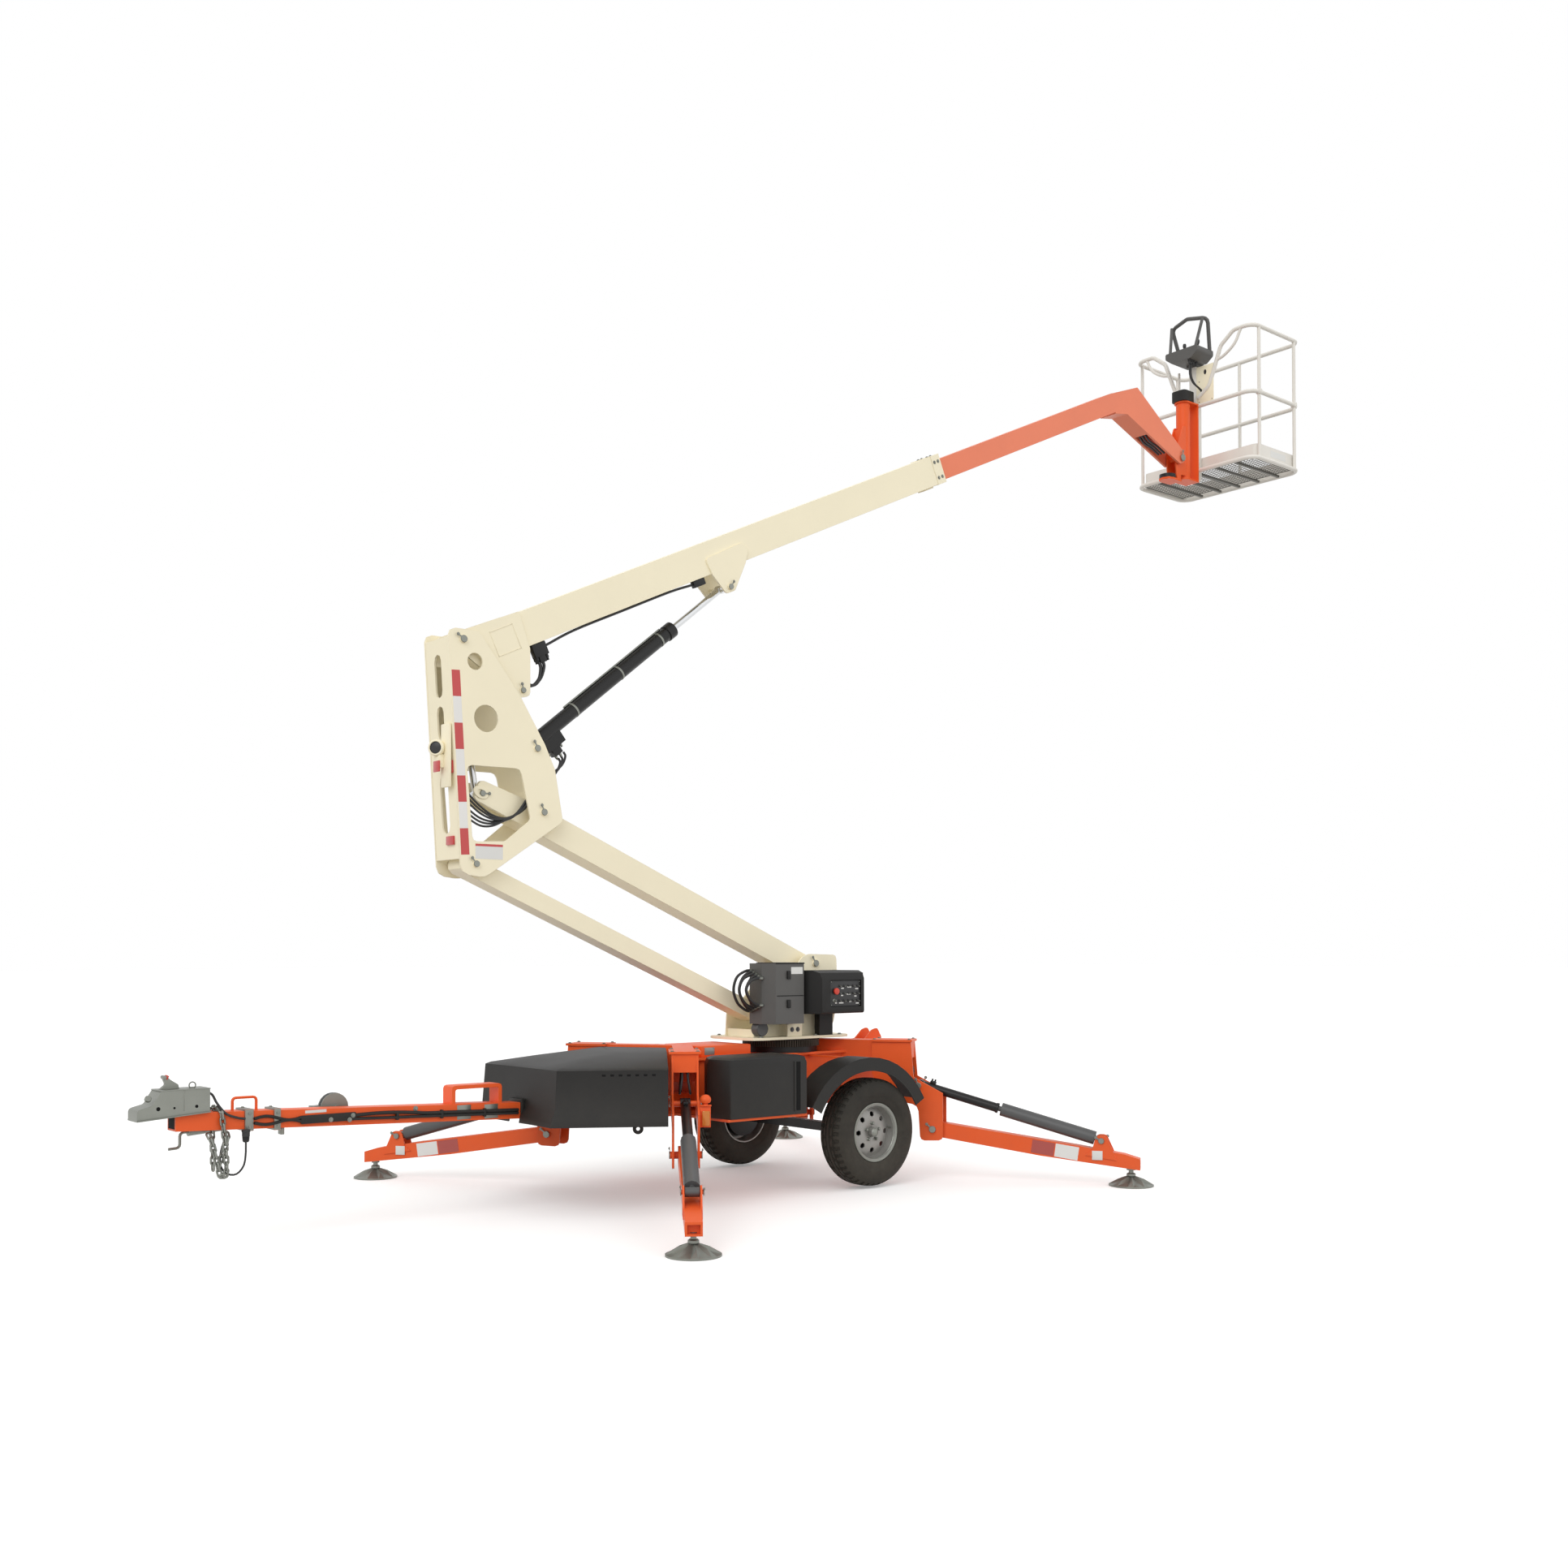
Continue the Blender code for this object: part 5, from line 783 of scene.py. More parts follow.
for label, side in (("left", -1), ("right", 1)):
    hub = at(*axis_place(f"wheel_{label}_roll")) @ facing((0, 0, 0), side)
    shape = spun(tyre_profile, TYRE_STEPS, True)
    notches = []
    for face in shape.faces:
        middle = face.calc_center_median()
        radius = math.hypot(middle.x, middle.y)
        step = round(math.atan2(middle.y, middle.x) / (2 * math.pi) * TYRE_STEPS - 0.5)
        shoulder = 0.336 < radius and 0.050 < abs(middle.z) < 0.082
        rib = radius > 0.352 and 0.020 < abs(middle.z) < 0.040
        if shoulder and step % 2 == 0 or rib and step % 3 == 0:
            notches.append(face)
    bmesh.ops.recalc_face_normals(shape, faces=shape.faces)
    bmesh.ops.inset_individual(shape, faces=notches, thickness=0.0025, depth=-0.006)
    tread = Piece(f"tyre_{label}_tread", hub)
    tread.take(shape)
    tread.hang(f"wheel_{label}", rubber, f"tyre_{label}", edge=math.radians(40))
    refinish(silver, f"wheel_{label}")
    hardware = Piece(f"wheel_{label}_hardware", hub)
    hardware.take(spun(BEAD, 72, True))
    for k in range(5):
        turn = 2 * math.pi * k / 5 + 0.3
        hardware.take(spun(NUT, 6), at(NUT_CIRCLE * math.cos(turn), NUT_CIRCLE * math.sin(turn), 0.043))
    hardware.take(spun(CAP))
    valve = [Vector((x, 0.02, z)) for x, z in ((0.150, 0.022), (0.154, 0.040), (0.158, 0.058))]
    hardware.take(bar(valve, 0.004))
    hardware.hang(f"wheel_{label}", zinc)
    Piece(f"brake_drum_{label}", hub).take(spun(DRUM, 48)).hang(f"wheel_{label}", black)

# Outriggers: the arms swing down on pins in the welded housings, each pushed by a cylinder whose
# rod end is sleeved in a grey guard tube, and stand on dished zinc feet.
guard_grey = finish("guard_tube_grey", "grey_paint", (0.090, 0.091, 0.092), 0.45, 0.2, grain=0.25, tone=0.08)
SHEET = {"coat": 0.6, "rounding": 0.0005}
arm_red = finish("reflector_red", "red_plastic", (0.40, 0.045, 0.030), 0.30, tone=0.05, **SHEET)
arm_white = finish("reflector_white", "rail", (0.78, 0.78, 0.76), 0.30, tone=0.03, **SHEET)
amber = finish("amber_lens", "red_plastic", (0.62, 0.20, 0.010), 0.22, tone=0.10, coat=0.4, rounding=0.001)
HEADING = math.radians(55.0)
HOUSING_FACE = 0.082
ARM_FACE = 0.046
ARM_DROP = 0.199 / 1.370
FOOT_X, FOOT_Z = 1.310, -0.345
UPPER_X, UPPER_Z = -0.095, 0.295
LOWER_X, LOWER_Z = FOOT_X - 0.190, 0.296 + FOOT_Z
KNOB = [
    (0.014, 0.0), (0.014, 0.008), (0.028, 0.013), (0.034, 0.026), (0.032, 0.042), (0.022, 0.055),
    (0.010, 0.060), (0.0, 0.061),
]
ELBOW = [(0.012, 0.0), (0.012, 0.020), (0.009, 0.022), (0.009, 0.034)]
SWIVEL = [(0.0165, 0.066), (0.030, 0.066), (0.030, 0.080), (0.022, 0.086), (0.0165, 0.086)]
SWIVEL_NUT = [(0.0165, 0.104), (0.0300, 0.104), (0.0300, 0.124), (0.0165, 0.124)]
BARREL_COLLAR = [(0.0305, 0.0), (0.0345, 0.0), (0.0345, 0.016), (0.0305, 0.016)]


def keeper(radius, strap, turn):
    """A pin's head with the strap and bolt that keep it from turning, out along Z."""
    shape = bmesh.new()
    cone(shape, 28, (radius, radius * 0.9), 0.0, 0.006)
    arm = block((-0.2 * radius, -0.22 * radius, 0.0), (strap, 0.22 * radius, 0.0030), 0.001)
    arm.transform(about("Z", turn))
    head = bolt(0.006)
    head.transform(at(strap * 0.86 * math.cos(turn), strap * 0.86 * math.sin(turn), 0.0035))
    join(shape, arm)
    join(shape, head)
    return shape


for corner, side, fore in (
    # which outrigger, its side of the lift (-1 near) and its end (-1 front)
    ("front_left", -1, -1), ("front_right", 1, -1), ("rear_left", -1, 1), ("rear_right", 1, 1)
):
    heading = math.atan2(side * math.sin(HEADING), fore * math.cos(HEADING))
    housing = at(*axis_place(f"outrigger_{corner}_lower")) @ about("Z", heading)
    body = f"outrigger_{corner}"
    refinish(orange, f"outrigger_arm_{corner}")
    refinish(zinc, f"outrigger_pad_{corner}")
    refinish(black, f"outrigger_barrel_{corner}")
    refinish(guard_grey, f"outrigger_rod_{corner}")
    pins = Piece(f"housing_pins_{corner}", housing)
    pins.keepers(0.0, HOUSING_FACE + 0.012, 0.0, 0.024, 0.060, 2.4)
    pins.keepers(UPPER_X, HOUSING_FACE + 0.010, UPPER_Z, 0.020, 0.052, 2.0)
    pins.bolts(0.009, [(x, y, 0.604) for x in (-0.400, -0.160) for y in (-0.078, 0.078)])
    # the hydraulic elbows under the housing's cap
    for z in (0.150, 0.105):
        pins.take(spun(ELBOW, 16), at(-0.085, 0.0, z))
    pins.hang("chassis", zinc)
    # the front housings' release knob and lens, on a bracket on the side towards the wheels
    if fore < 0:
        facing_wheels = housing @ flip(side * fore)
        bracket = Piece(f"housing_bracket_{corner}", facing_wheels)
        bracket.box((-0.022, HOUSING_FACE, 0.290), (0.026, 0.152, 0.297), 0.002)
        bracket.box((0.008, HOUSING_FACE, 0.164), (0.012, 0.148, 0.292), 0.001)
        bracket.take(spun(KNOB, 28), at(0.0, 0.117, 0.297))
        bracket.hang("chassis", orange)
        lens = Piece(f"housing_lens_{corner}", facing_wheels)
        lens.box((0.012, 0.096, 0.172), (0.024, 0.142, 0.262), 0.004)
        lens.hang("chassis", amber)
    hose_run = Piece(f"outrigger_hoses_{corner}", housing)
    for shift in (-0.018, 0.018):
        route = [
            (-0.175, shift, 0.500), (-0.165, shift, 0.440), (-0.150, shift * 1.4, 0.390),
            (-0.165, shift * 1.8, 0.350), (-0.230, shift * 1.6, 0.380), (-0.330, shift, 0.470),
            (-0.400, shift, 0.500),
        ]
        hose_run.tube(route, 0.0075, 5)
    hose_run.hang("chassis", hose_rubber)
    # the arm's stripes, the blank plate on its ear and the keepers of the lower pin
    for name, paint, span in (("red", arm_red, (0.670, 0.820)), ("white", arm_white, (0.826, 0.980))):
        stripe = Piece(f"arm_stripe_{name}_{corner}", housing @ about("Y", math.atan(ARM_DROP)))
        for face in (-1, 1):
            stripe.label(span, (-0.044, 0.044), ARM_FACE, 0.0007, face)
        stripe.hang(body, paint)
    ear = Piece(f"arm_plate_{corner}", housing)
    for face in (-1, 1):
        ear.label((1.060, 1.128), (-0.176, -0.116), 0.052, 0.0012, face, 0.0003)
    ear.hang(body, plate_white)
    arm_pins = Piece(f"arm_pins_{corner}", housing)
    arm_pins.keepers(LOWER_X, 0.058, LOWER_Z, 0.020, 0.048, 2.6)
    arm_pins.hang(body, zinc)
    # the barrel's port block and end collar
    slope = math.atan2(LOWER_Z - UPPER_Z, LOWER_X - UPPER_X)
    ports = Piece(f"barrel_ports_{corner}", housing @ at(UPPER_X, 0, UPPER_Z) @ about("Y", -slope))
    ports.box((0.060, -0.016, 0.024), (0.100, 0.016, 0.048), 0.004)
    ports.take(spun(BARREL_COLLAR, ring=True), at(0.536, 0, 0) @ about("Y", math.pi / 2))
    for x in (0.070, 0.090):
        ports.take(spun([(0.006, 0.0), (0.006, 0.014)], 12), at(x, 0, 0.048))
    ports.hang(f"outrigger_barrel_{corner}", black)
    # the spindle's nut and the swivel collar over the foot
    swivel = Piece(f"foot_swivel_{corner}", housing @ at(FOOT_X, 0, FOOT_Z))
    swivel.take(spun(SWIVEL, 24, True))
    swivel.take(spun(SWIVEL_NUT, 6, True))
    swivel.hang(body, zinc)

# Slewing ring: a black bearing with a cut gear round its rim and a ring of bolts on its inner
# race, between the chassis deck and the turret's table.
refinish(black, "slewing_ring")
GEAR_TEETH = 96
GEAR_ROOT, GEAR_RATIO, GEAR_HEIGHT = 0.252, 1.045, 0.046
gear = bmesh.new()
bmesh.ops.create_circle(gear, cap_ends=True, segments=GEAR_TEETH * 4, radius=GEAR_ROOT)
for vert in gear.verts:
    step = round(math.atan2(vert.co.y, vert.co.x) / (2 * math.pi) * GEAR_TEETH * 4) % 4
    vert.co *= GEAR_RATIO if step in (0, 1) else 1.0
raised = bmesh.ops.extrude_face_region(gear, geom=gear.faces[:])["geom"]
raised_verts = [v for v in raised if isinstance(v, bmesh.types.BMVert)]
bmesh.ops.translate(gear, vec=(0, 0, GEAR_HEIGHT), verts=raised_verts)
gear_steel = finish("gear_steel", "black_paint", (0.060, 0.048, 0.036), 0.45, 0.6, grain=0.3, tone=0.20)
Piece("slewing_gear").take(gear, at(0, 0, 0.912)).hang("chassis", gear_steel)

# Turret: two cream plates on a table over the slewing ring, with the pump's cover and the ground
# controls bolted to the near side.
cream = finish(
    "cream_paint", "cream", (0.95, 0.875, 0.66), 0.45, grain=0.10, tone=0.025, edge=(0.80, 0.70, 0.48),
    gloss=0.3,
)
grey_moulding = finish("grey_moulding", "grey_plastic", (0.090, 0.088, 0.084), 0.50, grain=0.50, tone=0.08)
panel_black = finish(
    "panel_black", "dark_plastic", (0.018, 0.018, 0.019), 0.42, grain=0.25, tone=0.06, rounding=0.001
)
refinish(cream, "turret")
refinish(grey_moulding, "pump_cover")
refinish(charcoal, "ground_controls")
refinish(red_plastic, "ground_stop")
turret_pins = Piece("turret_pins")
turret_pins.keepers(0.179, 0.167, 1.472, 0.024, 0.060, 2.2)
turret_pins.keepers(-0.279, 0.1535, 1.146, 0.022, 0.050, 2.6)
turret_pins.bolts(0.011, [(x, y, 0.983) for x in (-0.36, -0.12, 0.12, 0.34) for y in (-0.225, 0.225)])
turret_pins.hang("turntable", zinc)

# Pump cover and its neighbours: a moulded box with rubber latches and a blank plate, a cream
# bracket with two holes below it, the pump's round motor, and hoses that arch from its front.
cover_bits = Piece("pump_cover_latches")
for z in (1.180, 1.370):
    cover_bits.box((-0.250, -0.372, z), (-0.222, -0.360, z + 0.055), 0.004)
cover_bits.box((-0.345, -0.3625, 1.470), (-0.095, -0.1560, 1.480), 0.002)
cover_bits.box((-0.334, -0.3620, 1.258), (-0.104, -0.3600, 1.264), 0.0008)
cover_bits.hang("turntable", charcoal)
Piece("turret_plates").box((-0.212, -0.3608, 1.404), (-0.112, -0.3600, 1.450)).hang("turntable", plate_white)
lower_bracket = Piece("turret_bracket")
lower_bracket.box((-0.150, -0.250, 0.9835), (-0.020, -0.238, 1.120), 0.003)
lower_bracket.box((-0.150, -0.2500, 1.060), (-0.138, -0.1552, 1.120), 0.003)
lower_bracket.hang("turntable", cream)
motor = Piece("pump_motor")
motor_profile = [(0.046, 0.0), (0.050, 0.006), (0.050, 0.060), (0.046, 0.066), (0.012, 0.068)]
motor.take(spun(motor_profile, 36), facing((-0.345, -0.160, 1.040), -1))
motor.bolts(0.010, [(x, -0.250, z) for x in (-0.110, -0.060) for z in (1.030, 1.085)], -1)
motor.hang("turntable", guard_grey)
turret_hoses = Piece("turret_hoses")
collars = Piece("turret_hose_fittings")
COLLAR = [(0.0125, 0.0), (0.0125, 0.018), (0.010, 0.020), (0.010, 0.030)]
for k, reach in enumerate((-0.560, -0.535, -0.555, -0.520, -0.540)):
    y = -0.180 - 0.027 * k
    upper, lower = 1.425 - 0.012 * k, 1.160 + 0.010 * k
    route = [
        (-0.395, y, upper), (-0.450, y, upper), (reach + 0.030, y - 0.004, 1.385 - 0.008 * k),
        (reach, y - 0.006, 1.300), (reach + 0.035, y - 0.004, 1.215 + 0.006 * k),
        (-0.450, y, lower + 0.005), (-0.395, y, lower),
    ]
    turret_hoses.tube(route, 0.0095)
    for z in (upper, lower):
        collars.take(spun(COLLAR, 6), at(-0.400, y, z) @ about("Y", -math.pi / 2))
turret_hoses.hang("turntable", hose_rubber, "turret_hose")
collars.hang("turntable", zinc)

# Ground controls: a moulded housing with a black panel let into it. Toggle switches stand in
# rows beside the red stop, each by its blank strip, with a key switch and a screw in each corner.
PANEL_Y = -0.408
SWITCHES = [(x, z) for x in (0.172, 0.214, 0.256, 0.298, 0.340) for z in (1.222, 1.272, 1.322)]
controls = Piece("ground_panel")
controls.box((0.090, PANEL_Y - 0.0035, 1.185), (0.360, PANEL_Y, 1.355), 0.001)
controls.box((0.3915, -0.405, 1.150), (0.3965, -0.180, 1.410), 0.001)
levers = Piece("ground_switches")
for x, z in SWITCHES:
    seat = spun([(0.009, 0.0), (0.009, 0.003), (0.005, 0.006)], 16)
    controls.take(seat, facing((x, PANEL_Y - 0.0035, z), -1))
    lever = spun([(0.0028, 0.0), (0.0036, 0.016), (0.0, 0.019)], 12)
    levers.take(lever, facing((x, PANEL_Y - 0.008, z), -1) @ about("X", 0.35))
controls.hang("turntable", panel_black)
key = spun([(0.013, 0.0), (0.013, 0.004), (0.009, 0.007)], 24)
levers.take(key, facing((0.122, PANEL_Y - 0.0035, 1.222), -1))
levers.box((0.1195, PANEL_Y - 0.026, 1.214), (0.1245, PANEL_Y - 0.010, 1.230), 0.001)
panel_corners = [(x, PANEL_Y - 0.003, z) for x in (0.097, 0.353) for z in (1.192, 1.348)]
levers.bolts(0.004, panel_corners, -1, washer=False)
levers.hang("turntable", zinc)
strips = Piece("ground_panel_strips")
for x, z, half in (
    # middle of each strip and half its length
    (0.200, 1.304, 0.012), (0.262, 1.312, 0.018), (0.330, 1.300, 0.014), (0.196, 1.256, 0.010),
    (0.256, 1.264, 0.016), (0.318, 1.250, 0.010), (0.188, 1.206, 0.020), (0.270, 1.214, 0.010),
    (0.336, 1.202, 0.014), (0.140, 1.206, 0.008),
):
    strips.box((x - half, PANEL_Y - 0.0041, z - 0.004), (x + half, PANEL_Y - 0.0034, z + 0.004))
strips.hang("turntable", plate_white)

# Tower: two box links in cream between the turret and the upright, with bosses welded round
# their pins, and the lift cylinders in black with chromed rods.
chrome = finish("chromed_rod", "chrome_rod", (0.62, 0.63, 0.64), 0.14, 1.0, tone=0.03)
refinish(cream, "upper_link", "lower_link", "upright", "upper_boom")
for name in ("boom_cylinder", "tower_cylinder"):
    refinish(black, f"{name}_barrel")
    refinish(chrome, f"{name}_rod")
LINK_ANGLE = math.radians(23.05)
LINK = at(*axis_place("tower_lift")) @ about("Y", LINK_ANGLE)
LEVER_X, LEVER_Z = -2.353 - 0.387, -0.061
lever_boss = Piece("lever_boss", LINK)
for side in (-1, 1):
    boss = spun([(0.016, 0.0), (0.034, 0.0), (0.036, 0.003), (0.034, 0.006), (0.016, 0.006)], 28, True)
    oval = Matrix.Diagonal((1.5, 1.0, 1.0, 1.0))
    lever_boss.take(boss, facing((LEVER_X + 0.012 * side, side * 0.085, LEVER_Z), side) @ oval)
lever_boss.hang("upper_link", cream)
lever_pins = Piece("lever_pins", LINK)
lever_pins.keepers(LEVER_X, 0.091, LEVER_Z, 0.019, 0.050, 0.4, 2.7)
lever_pins.hang("upper_link", zinc)

# Upright: two cream plates joined by a front web, with a keeper on every pin, red and white
# stripes down its front edges, reflectors, a round work lamp and a bundle of hoses inside.
UPRIGHT = at(*axis_place("upright_level"))
UPRIGHT_FOOT, UPRIGHT_HEAD, UPRIGHT_FACE = (-0.556, -0.385), (-0.642, 1.036), 0.150


def front_edge(z):
    """The x of the upright's front edge at a height above the upper link's pin."""
    share = (z - UPRIGHT_FOOT[1]) / (UPRIGHT_HEAD[1] - UPRIGHT_FOOT[1])
    return UPRIGHT_FOOT[0] + (UPRIGHT_HEAD[0] - UPRIGHT_FOOT[0]) * share


upright_pins = Piece("upright_pins", UPRIGHT)
for x, z, radius, turn in (
    # place of the pin, its head's radius and the turn of its strap
    (0.0, 0.0, 0.021, 2.0), (-0.458, -0.326, 0.020, 2.3), (-0.544, 0.977, 0.022, 2.6),
    (-0.047, 0.381, 0.021, 2.1),
):
    upright_pins.keepers(x, 0.160, z, radius, 0.052, turn, math.pi - turn)
upright_pins.hang("upright", zinc)
STRIPE = 0.1525
lean = math.atan2(UPRIGHT_FOOT[0] - UPRIGHT_HEAD[0], UPRIGHT_HEAD[1] - UPRIGHT_FOOT[1])
SIGN = {"coat": 0.5, "rounding": 0.0005}
sign_red = finish("reflective_red", "red_plastic", (0.56, 0.035, 0.035), 0.32, tone=0.04, **SIGN)
sign_white = finish("reflective_white", "rail", (0.80, 0.79, 0.77), 0.32, tone=0.02, **SIGN)
for name, paint, rows in (("red", sign_red, (0, 2, 4, 6)), ("white", sign_white, (1, 3, 5))):
    stripe = Piece(f"upright_stripe_{name}", UPRIGHT)
    for row in rows:
        z = 0.791 - STRIPE * (row + 0.5)
        place = at(front_edge(z) + 0.008, 0, z) @ about("Y", -lean)
        for side in (-1, 1):
            stripe.label((0.0, 0.054), (-STRIPE / 2, STRIPE / 2), UPRIGHT_FACE, 0.0007, side, place=place)
    stripe.hang("upright", paint)
marks = Piece("upright_plate", UPRIGHT)
marks.box((-0.462, -0.1507, -0.296), (-0.280, -0.1500, -0.222))
marks.hang("upright", plate_white)
bars = Piece("upright_plate_bar", UPRIGHT)
bars.box((-0.462, -0.1508, -0.222), (-0.280, -0.1500, -0.208))
bars.hang("upright", sign_red)
lenses = Piece("upright_reflectors", UPRIGHT)
for y, z, wide, tall in ((-0.050, -0.190, 0.090, 0.052), (-0.105, 0.235, 0.040, 0.074)):
    low, high = (-0.008, y - wide / 2, z - tall / 2), (0.004, y + wide / 2, z + tall / 2)
    lenses.box(low, high, 0.003, at(front_edge(z) - 0.001, 0, 0))
LAMP_Z = 0.338
lenses.box((-0.060, -0.075, 0.205), (-0.050, -0.005, 0.270), 0.003, at(front_edge(LAMP_Z), 0, 0))
lenses.hang("upright", sign_red)
lamp_stand = UPRIGHT @ at(front_edge(LAMP_Z) - 0.052, -0.040, 0.345)
face_near = about("Z", math.radians(38)) @ about("Y", math.radians(-90))
lamp_body = Piece("work_lamp_body", lamp_stand)
shell = [
    (0.0, -0.040), (0.026, -0.038), (0.042, -0.020), (0.048, 0.0), (0.048, 0.020), (0.043, 0.026),
    (0.036, 0.026), (0.036, 0.018),
]
lamp_body.take(spun(shell, 36), face_near)
lamp_body.box((-0.006, -0.030, -0.115), (0.030, 0.030, -0.036), 0.004)
lamp_body.box((0.028, -0.092, -0.230), (0.044, 0.010, 0.140), 0.005)
lamp_body.hang("upright", cream)
lamp_lens = Piece("work_lamp_lens", lamp_stand)
lamp_lens.take(spun([(0.035, 0.018), (0.035, 0.021), (0.022, 0.027), (0.0, 0.029)], 36), face_near)
lamp_lens.hang("upright", panel_black)
tower_hoses = Piece("tower_hoses", UPRIGHT)
for k in range(6):
    y = -0.1180 - 0.0066 * (k % 3)
    drop = 0.030 * k
    route = [
        (-0.560, y, 0.120 - drop), (-0.500, y, 0.088 - drop), (-0.420, y, 0.020 - drop * 0.80),
        (-0.340, y, -0.030 - drop * 0.45), (-0.260, y, -0.048 - drop * 0.10), (-0.190, y, -0.030),
        (-0.120, y, 0.010 + drop * 0.3), (-0.060, y, 0.080 + drop * 0.5),
    ]
    tower_hoses.tube(route, 0.0065)
climb = [(-0.562, -0.127, 0.100), (-0.556, -0.127, 0.220), (-0.552, -0.127, 0.330), (-0.552, -0.127, 0.440)]
tower_hoses.tube(climb, 0.010)
for y in (-0.084, -0.108):
    fall = [(front_edge(z) + 0.034, y, z) for z in (0.330, 0.200, 0.080, -0.050, -0.160, -0.230)]
    tower_hoses.tube(fall, 0.011, 3)
tower_hoses.hang("upright", hose_rubber, "tower_hose")

# Upper boom: a box tube between root plates, with a collar and wear-pad bolts at its mouth, the
# outline of a doubler plate at its root, and black valves with hoses on its underside.
BOOM_ANGLE = math.radians(24.98)
BOOM = at(*axis_place("boom_lift")) @ about("Y", -BOOM_ANGLE)
ROD_PIN = Vector((2.070, 0.0, -0.300))
boom_pins = Piece("boom_pins", BOOM)
boom_pins.keepers(ROD_PIN.x, 0.124, ROD_PIN.z, 0.020, 0.050, 0.6)
boom_pins.keepers(0.275, 0.122, -0.405, 0.018, 0.044, 1.4)
MOUTH = (4.345, 4.385)
for side in (-1, 1):
    boom_pins.bolts(0.008, [(x, side * 0.104, z) for x in MOUTH for z in (-0.135, -0.020)], side)
boom_pins.bolts(0.008, [(x, y, 0.032) for x in MOUTH for y in (-0.045, 0.045)])
boom_pins.hang("upper_boom", zinc)
doubler = Piece("boom_root_doubler", BOOM)
for side in (-1, 1):
    for span, rise in (
        ((0.205, 0.375), (-0.022, -0.018)),
        ((0.205, 0.375), (-0.172, -0.168)),
        ((0.205, 0.209), (-0.172, -0.018)),
        ((0.371, 0.375), (-0.172, -0.018)),
    ):
        doubler.label(span, rise, 0.112, 0.0018, side, 0.0006)
doubler.hang("upper_boom", cream)
valves = Piece("boom_valves", BOOM)
valves.box((0.455, -0.098, -0.262), (0.560, -0.054, -0.1795), 0.006)
valves.box((0.480, -0.094, -0.300), (0.530, -0.058, -0.255), 0.006)
valves.box((1.800, -0.098, -0.225), (1.900, -0.060, -0.1795), 0.006)
for x, y in ((0.466, -0.084), (0.466, -0.066), (0.546, -0.076)):
    union = spun([(0.012, 0.0), (0.012, 0.022), (0.008, 0.026), (0.008, 0.040)], 12)
    valves.take(union, at(x, y, -0.258) @ about("X", math.pi))
valves.hang("upper_boom", black)
root_hoses = Piece("boom_root_hoses", BOOM)
for y, reach in ((-0.088, 0.0), (-0.072, 0.015), (-0.080, 0.032), (-0.064, 0.045)):
    inner = y * 0.98
    route = [
        (0.470 + reach, y, -0.290), (0.462 + reach, y, -0.330), (0.420 + reach * 0.7, inner, -0.385),
        (0.350 + reach * 0.5, inner, -0.400), (0.280, inner, -0.330 + reach), (0.230, inner, -0.230 + reach),
        (0.215, inner, -0.120),
    ]
    root_hoses.tube(route, 0.009)
under = [(0.560, -0.2115), (0.80, -0.190), (1.20, -0.1885), (1.60, -0.1885), (1.80, -0.200)]
root_hoses.tube([(x, -0.078, z) for x, z in under], 0.008, 5)
root_hoses.hang("upper_boom", hose_rubber)

# Lift cylinder's valve: zinc fittings on the black block, and hoses that loop back towards the
# upright. They ride on the barrel, and sag below it.
foot_pin = axis_place("boom_cylinder_swing")
throw = BOOM @ ROD_PIN - foot_pin
BARREL = at(*foot_pin) @ about("Y", -math.atan2(throw.z, throw.x))
barrel_bits = Piece("boom_cylinder_fittings", BARREL)
for x, z in ((0.165, -0.150), (0.200, -0.150), (0.240, -0.105), (0.135, -0.105)):
    union = spun([(0.011, 0.0), (0.011, 0.014), (0.008, 0.016), (0.008, 0.026)], 6)
    barrel_bits.take(union, at(x, 0, z) @ about("X", math.pi))
barrel_bits.tube([(0.40, 0, 0.052), (0.80, 0, 0.052), (1.33, 0, 0.052)], 0.006, 1)
for x in (0.45, 0.88, 1.28):
    clamp = spun([(0.0455, -0.007), (0.0480, -0.007), (0.0480, 0.007), (0.0455, 0.007)], ring=True)
    barrel_bits.take(clamp, at(x, 0, 0) @ about("Y", math.pi / 2))
barrel_bits.hang("boom_barrel", zinc)
barrel_hoses = Piece("boom_cylinder_hoses", BARREL)
for y, x in ((-0.014, 0.165), (0.004, 0.200), (0.020, 0.240)):
    route = [
        (x, y, -0.168), (x - 0.006, y, -0.198), (x - 0.060, y, -0.226), (x - 0.140, y * 2.0, -0.232),
        (x - 0.215, y * 2.4, -0.225), (x - 0.280, y * 2.4, -0.190),
    ]
    barrel_hoses.tube(route, 0.0075)
barrel_hoses.hang("boom_barrel", hose_rubber)

# Fly boom and platform support: the same orange, painted paler on the fly as a painted sheen of
# the sky's light on its paint, with the levelling hoses that come out of its cranked head.
painted_sheen_orange = finish(
    "painted_sheen_orange_paint", "orange", (0.87, 0.235, 0.125), 0.42, grain=0.10, tone=0.04,
    edge=(0.90, 0.38, 0.25), gloss=0.3,
)
# The fly gets the paler copy of the orange: painted sheen, not a different paint.
refinish(painted_sheen_orange, "fly_boom")
refinish(orange, "platform_support")
refinish(black, "support_ring")
fly_pins = Piece("fly_pins", BOOM)
fly_pins.keepers(7.427, 0.092, -0.734, 0.030, 0.066, 1.2)
fly_pins.hang("platform_support", zinc)
head_hoses = Piece("fly_head_hoses", BOOM)
head_route = [(7.000, -0.330), (7.060, -0.420), (7.110, -0.500), (7.190, -0.560), (7.270, -0.640)]
for y in (-0.028, 0.004, 0.032):
    head_hoses.tube([(x, y, z) for x, z in head_route], 0.009)
head_hoses.hang("fly_boom", hose_rubber)

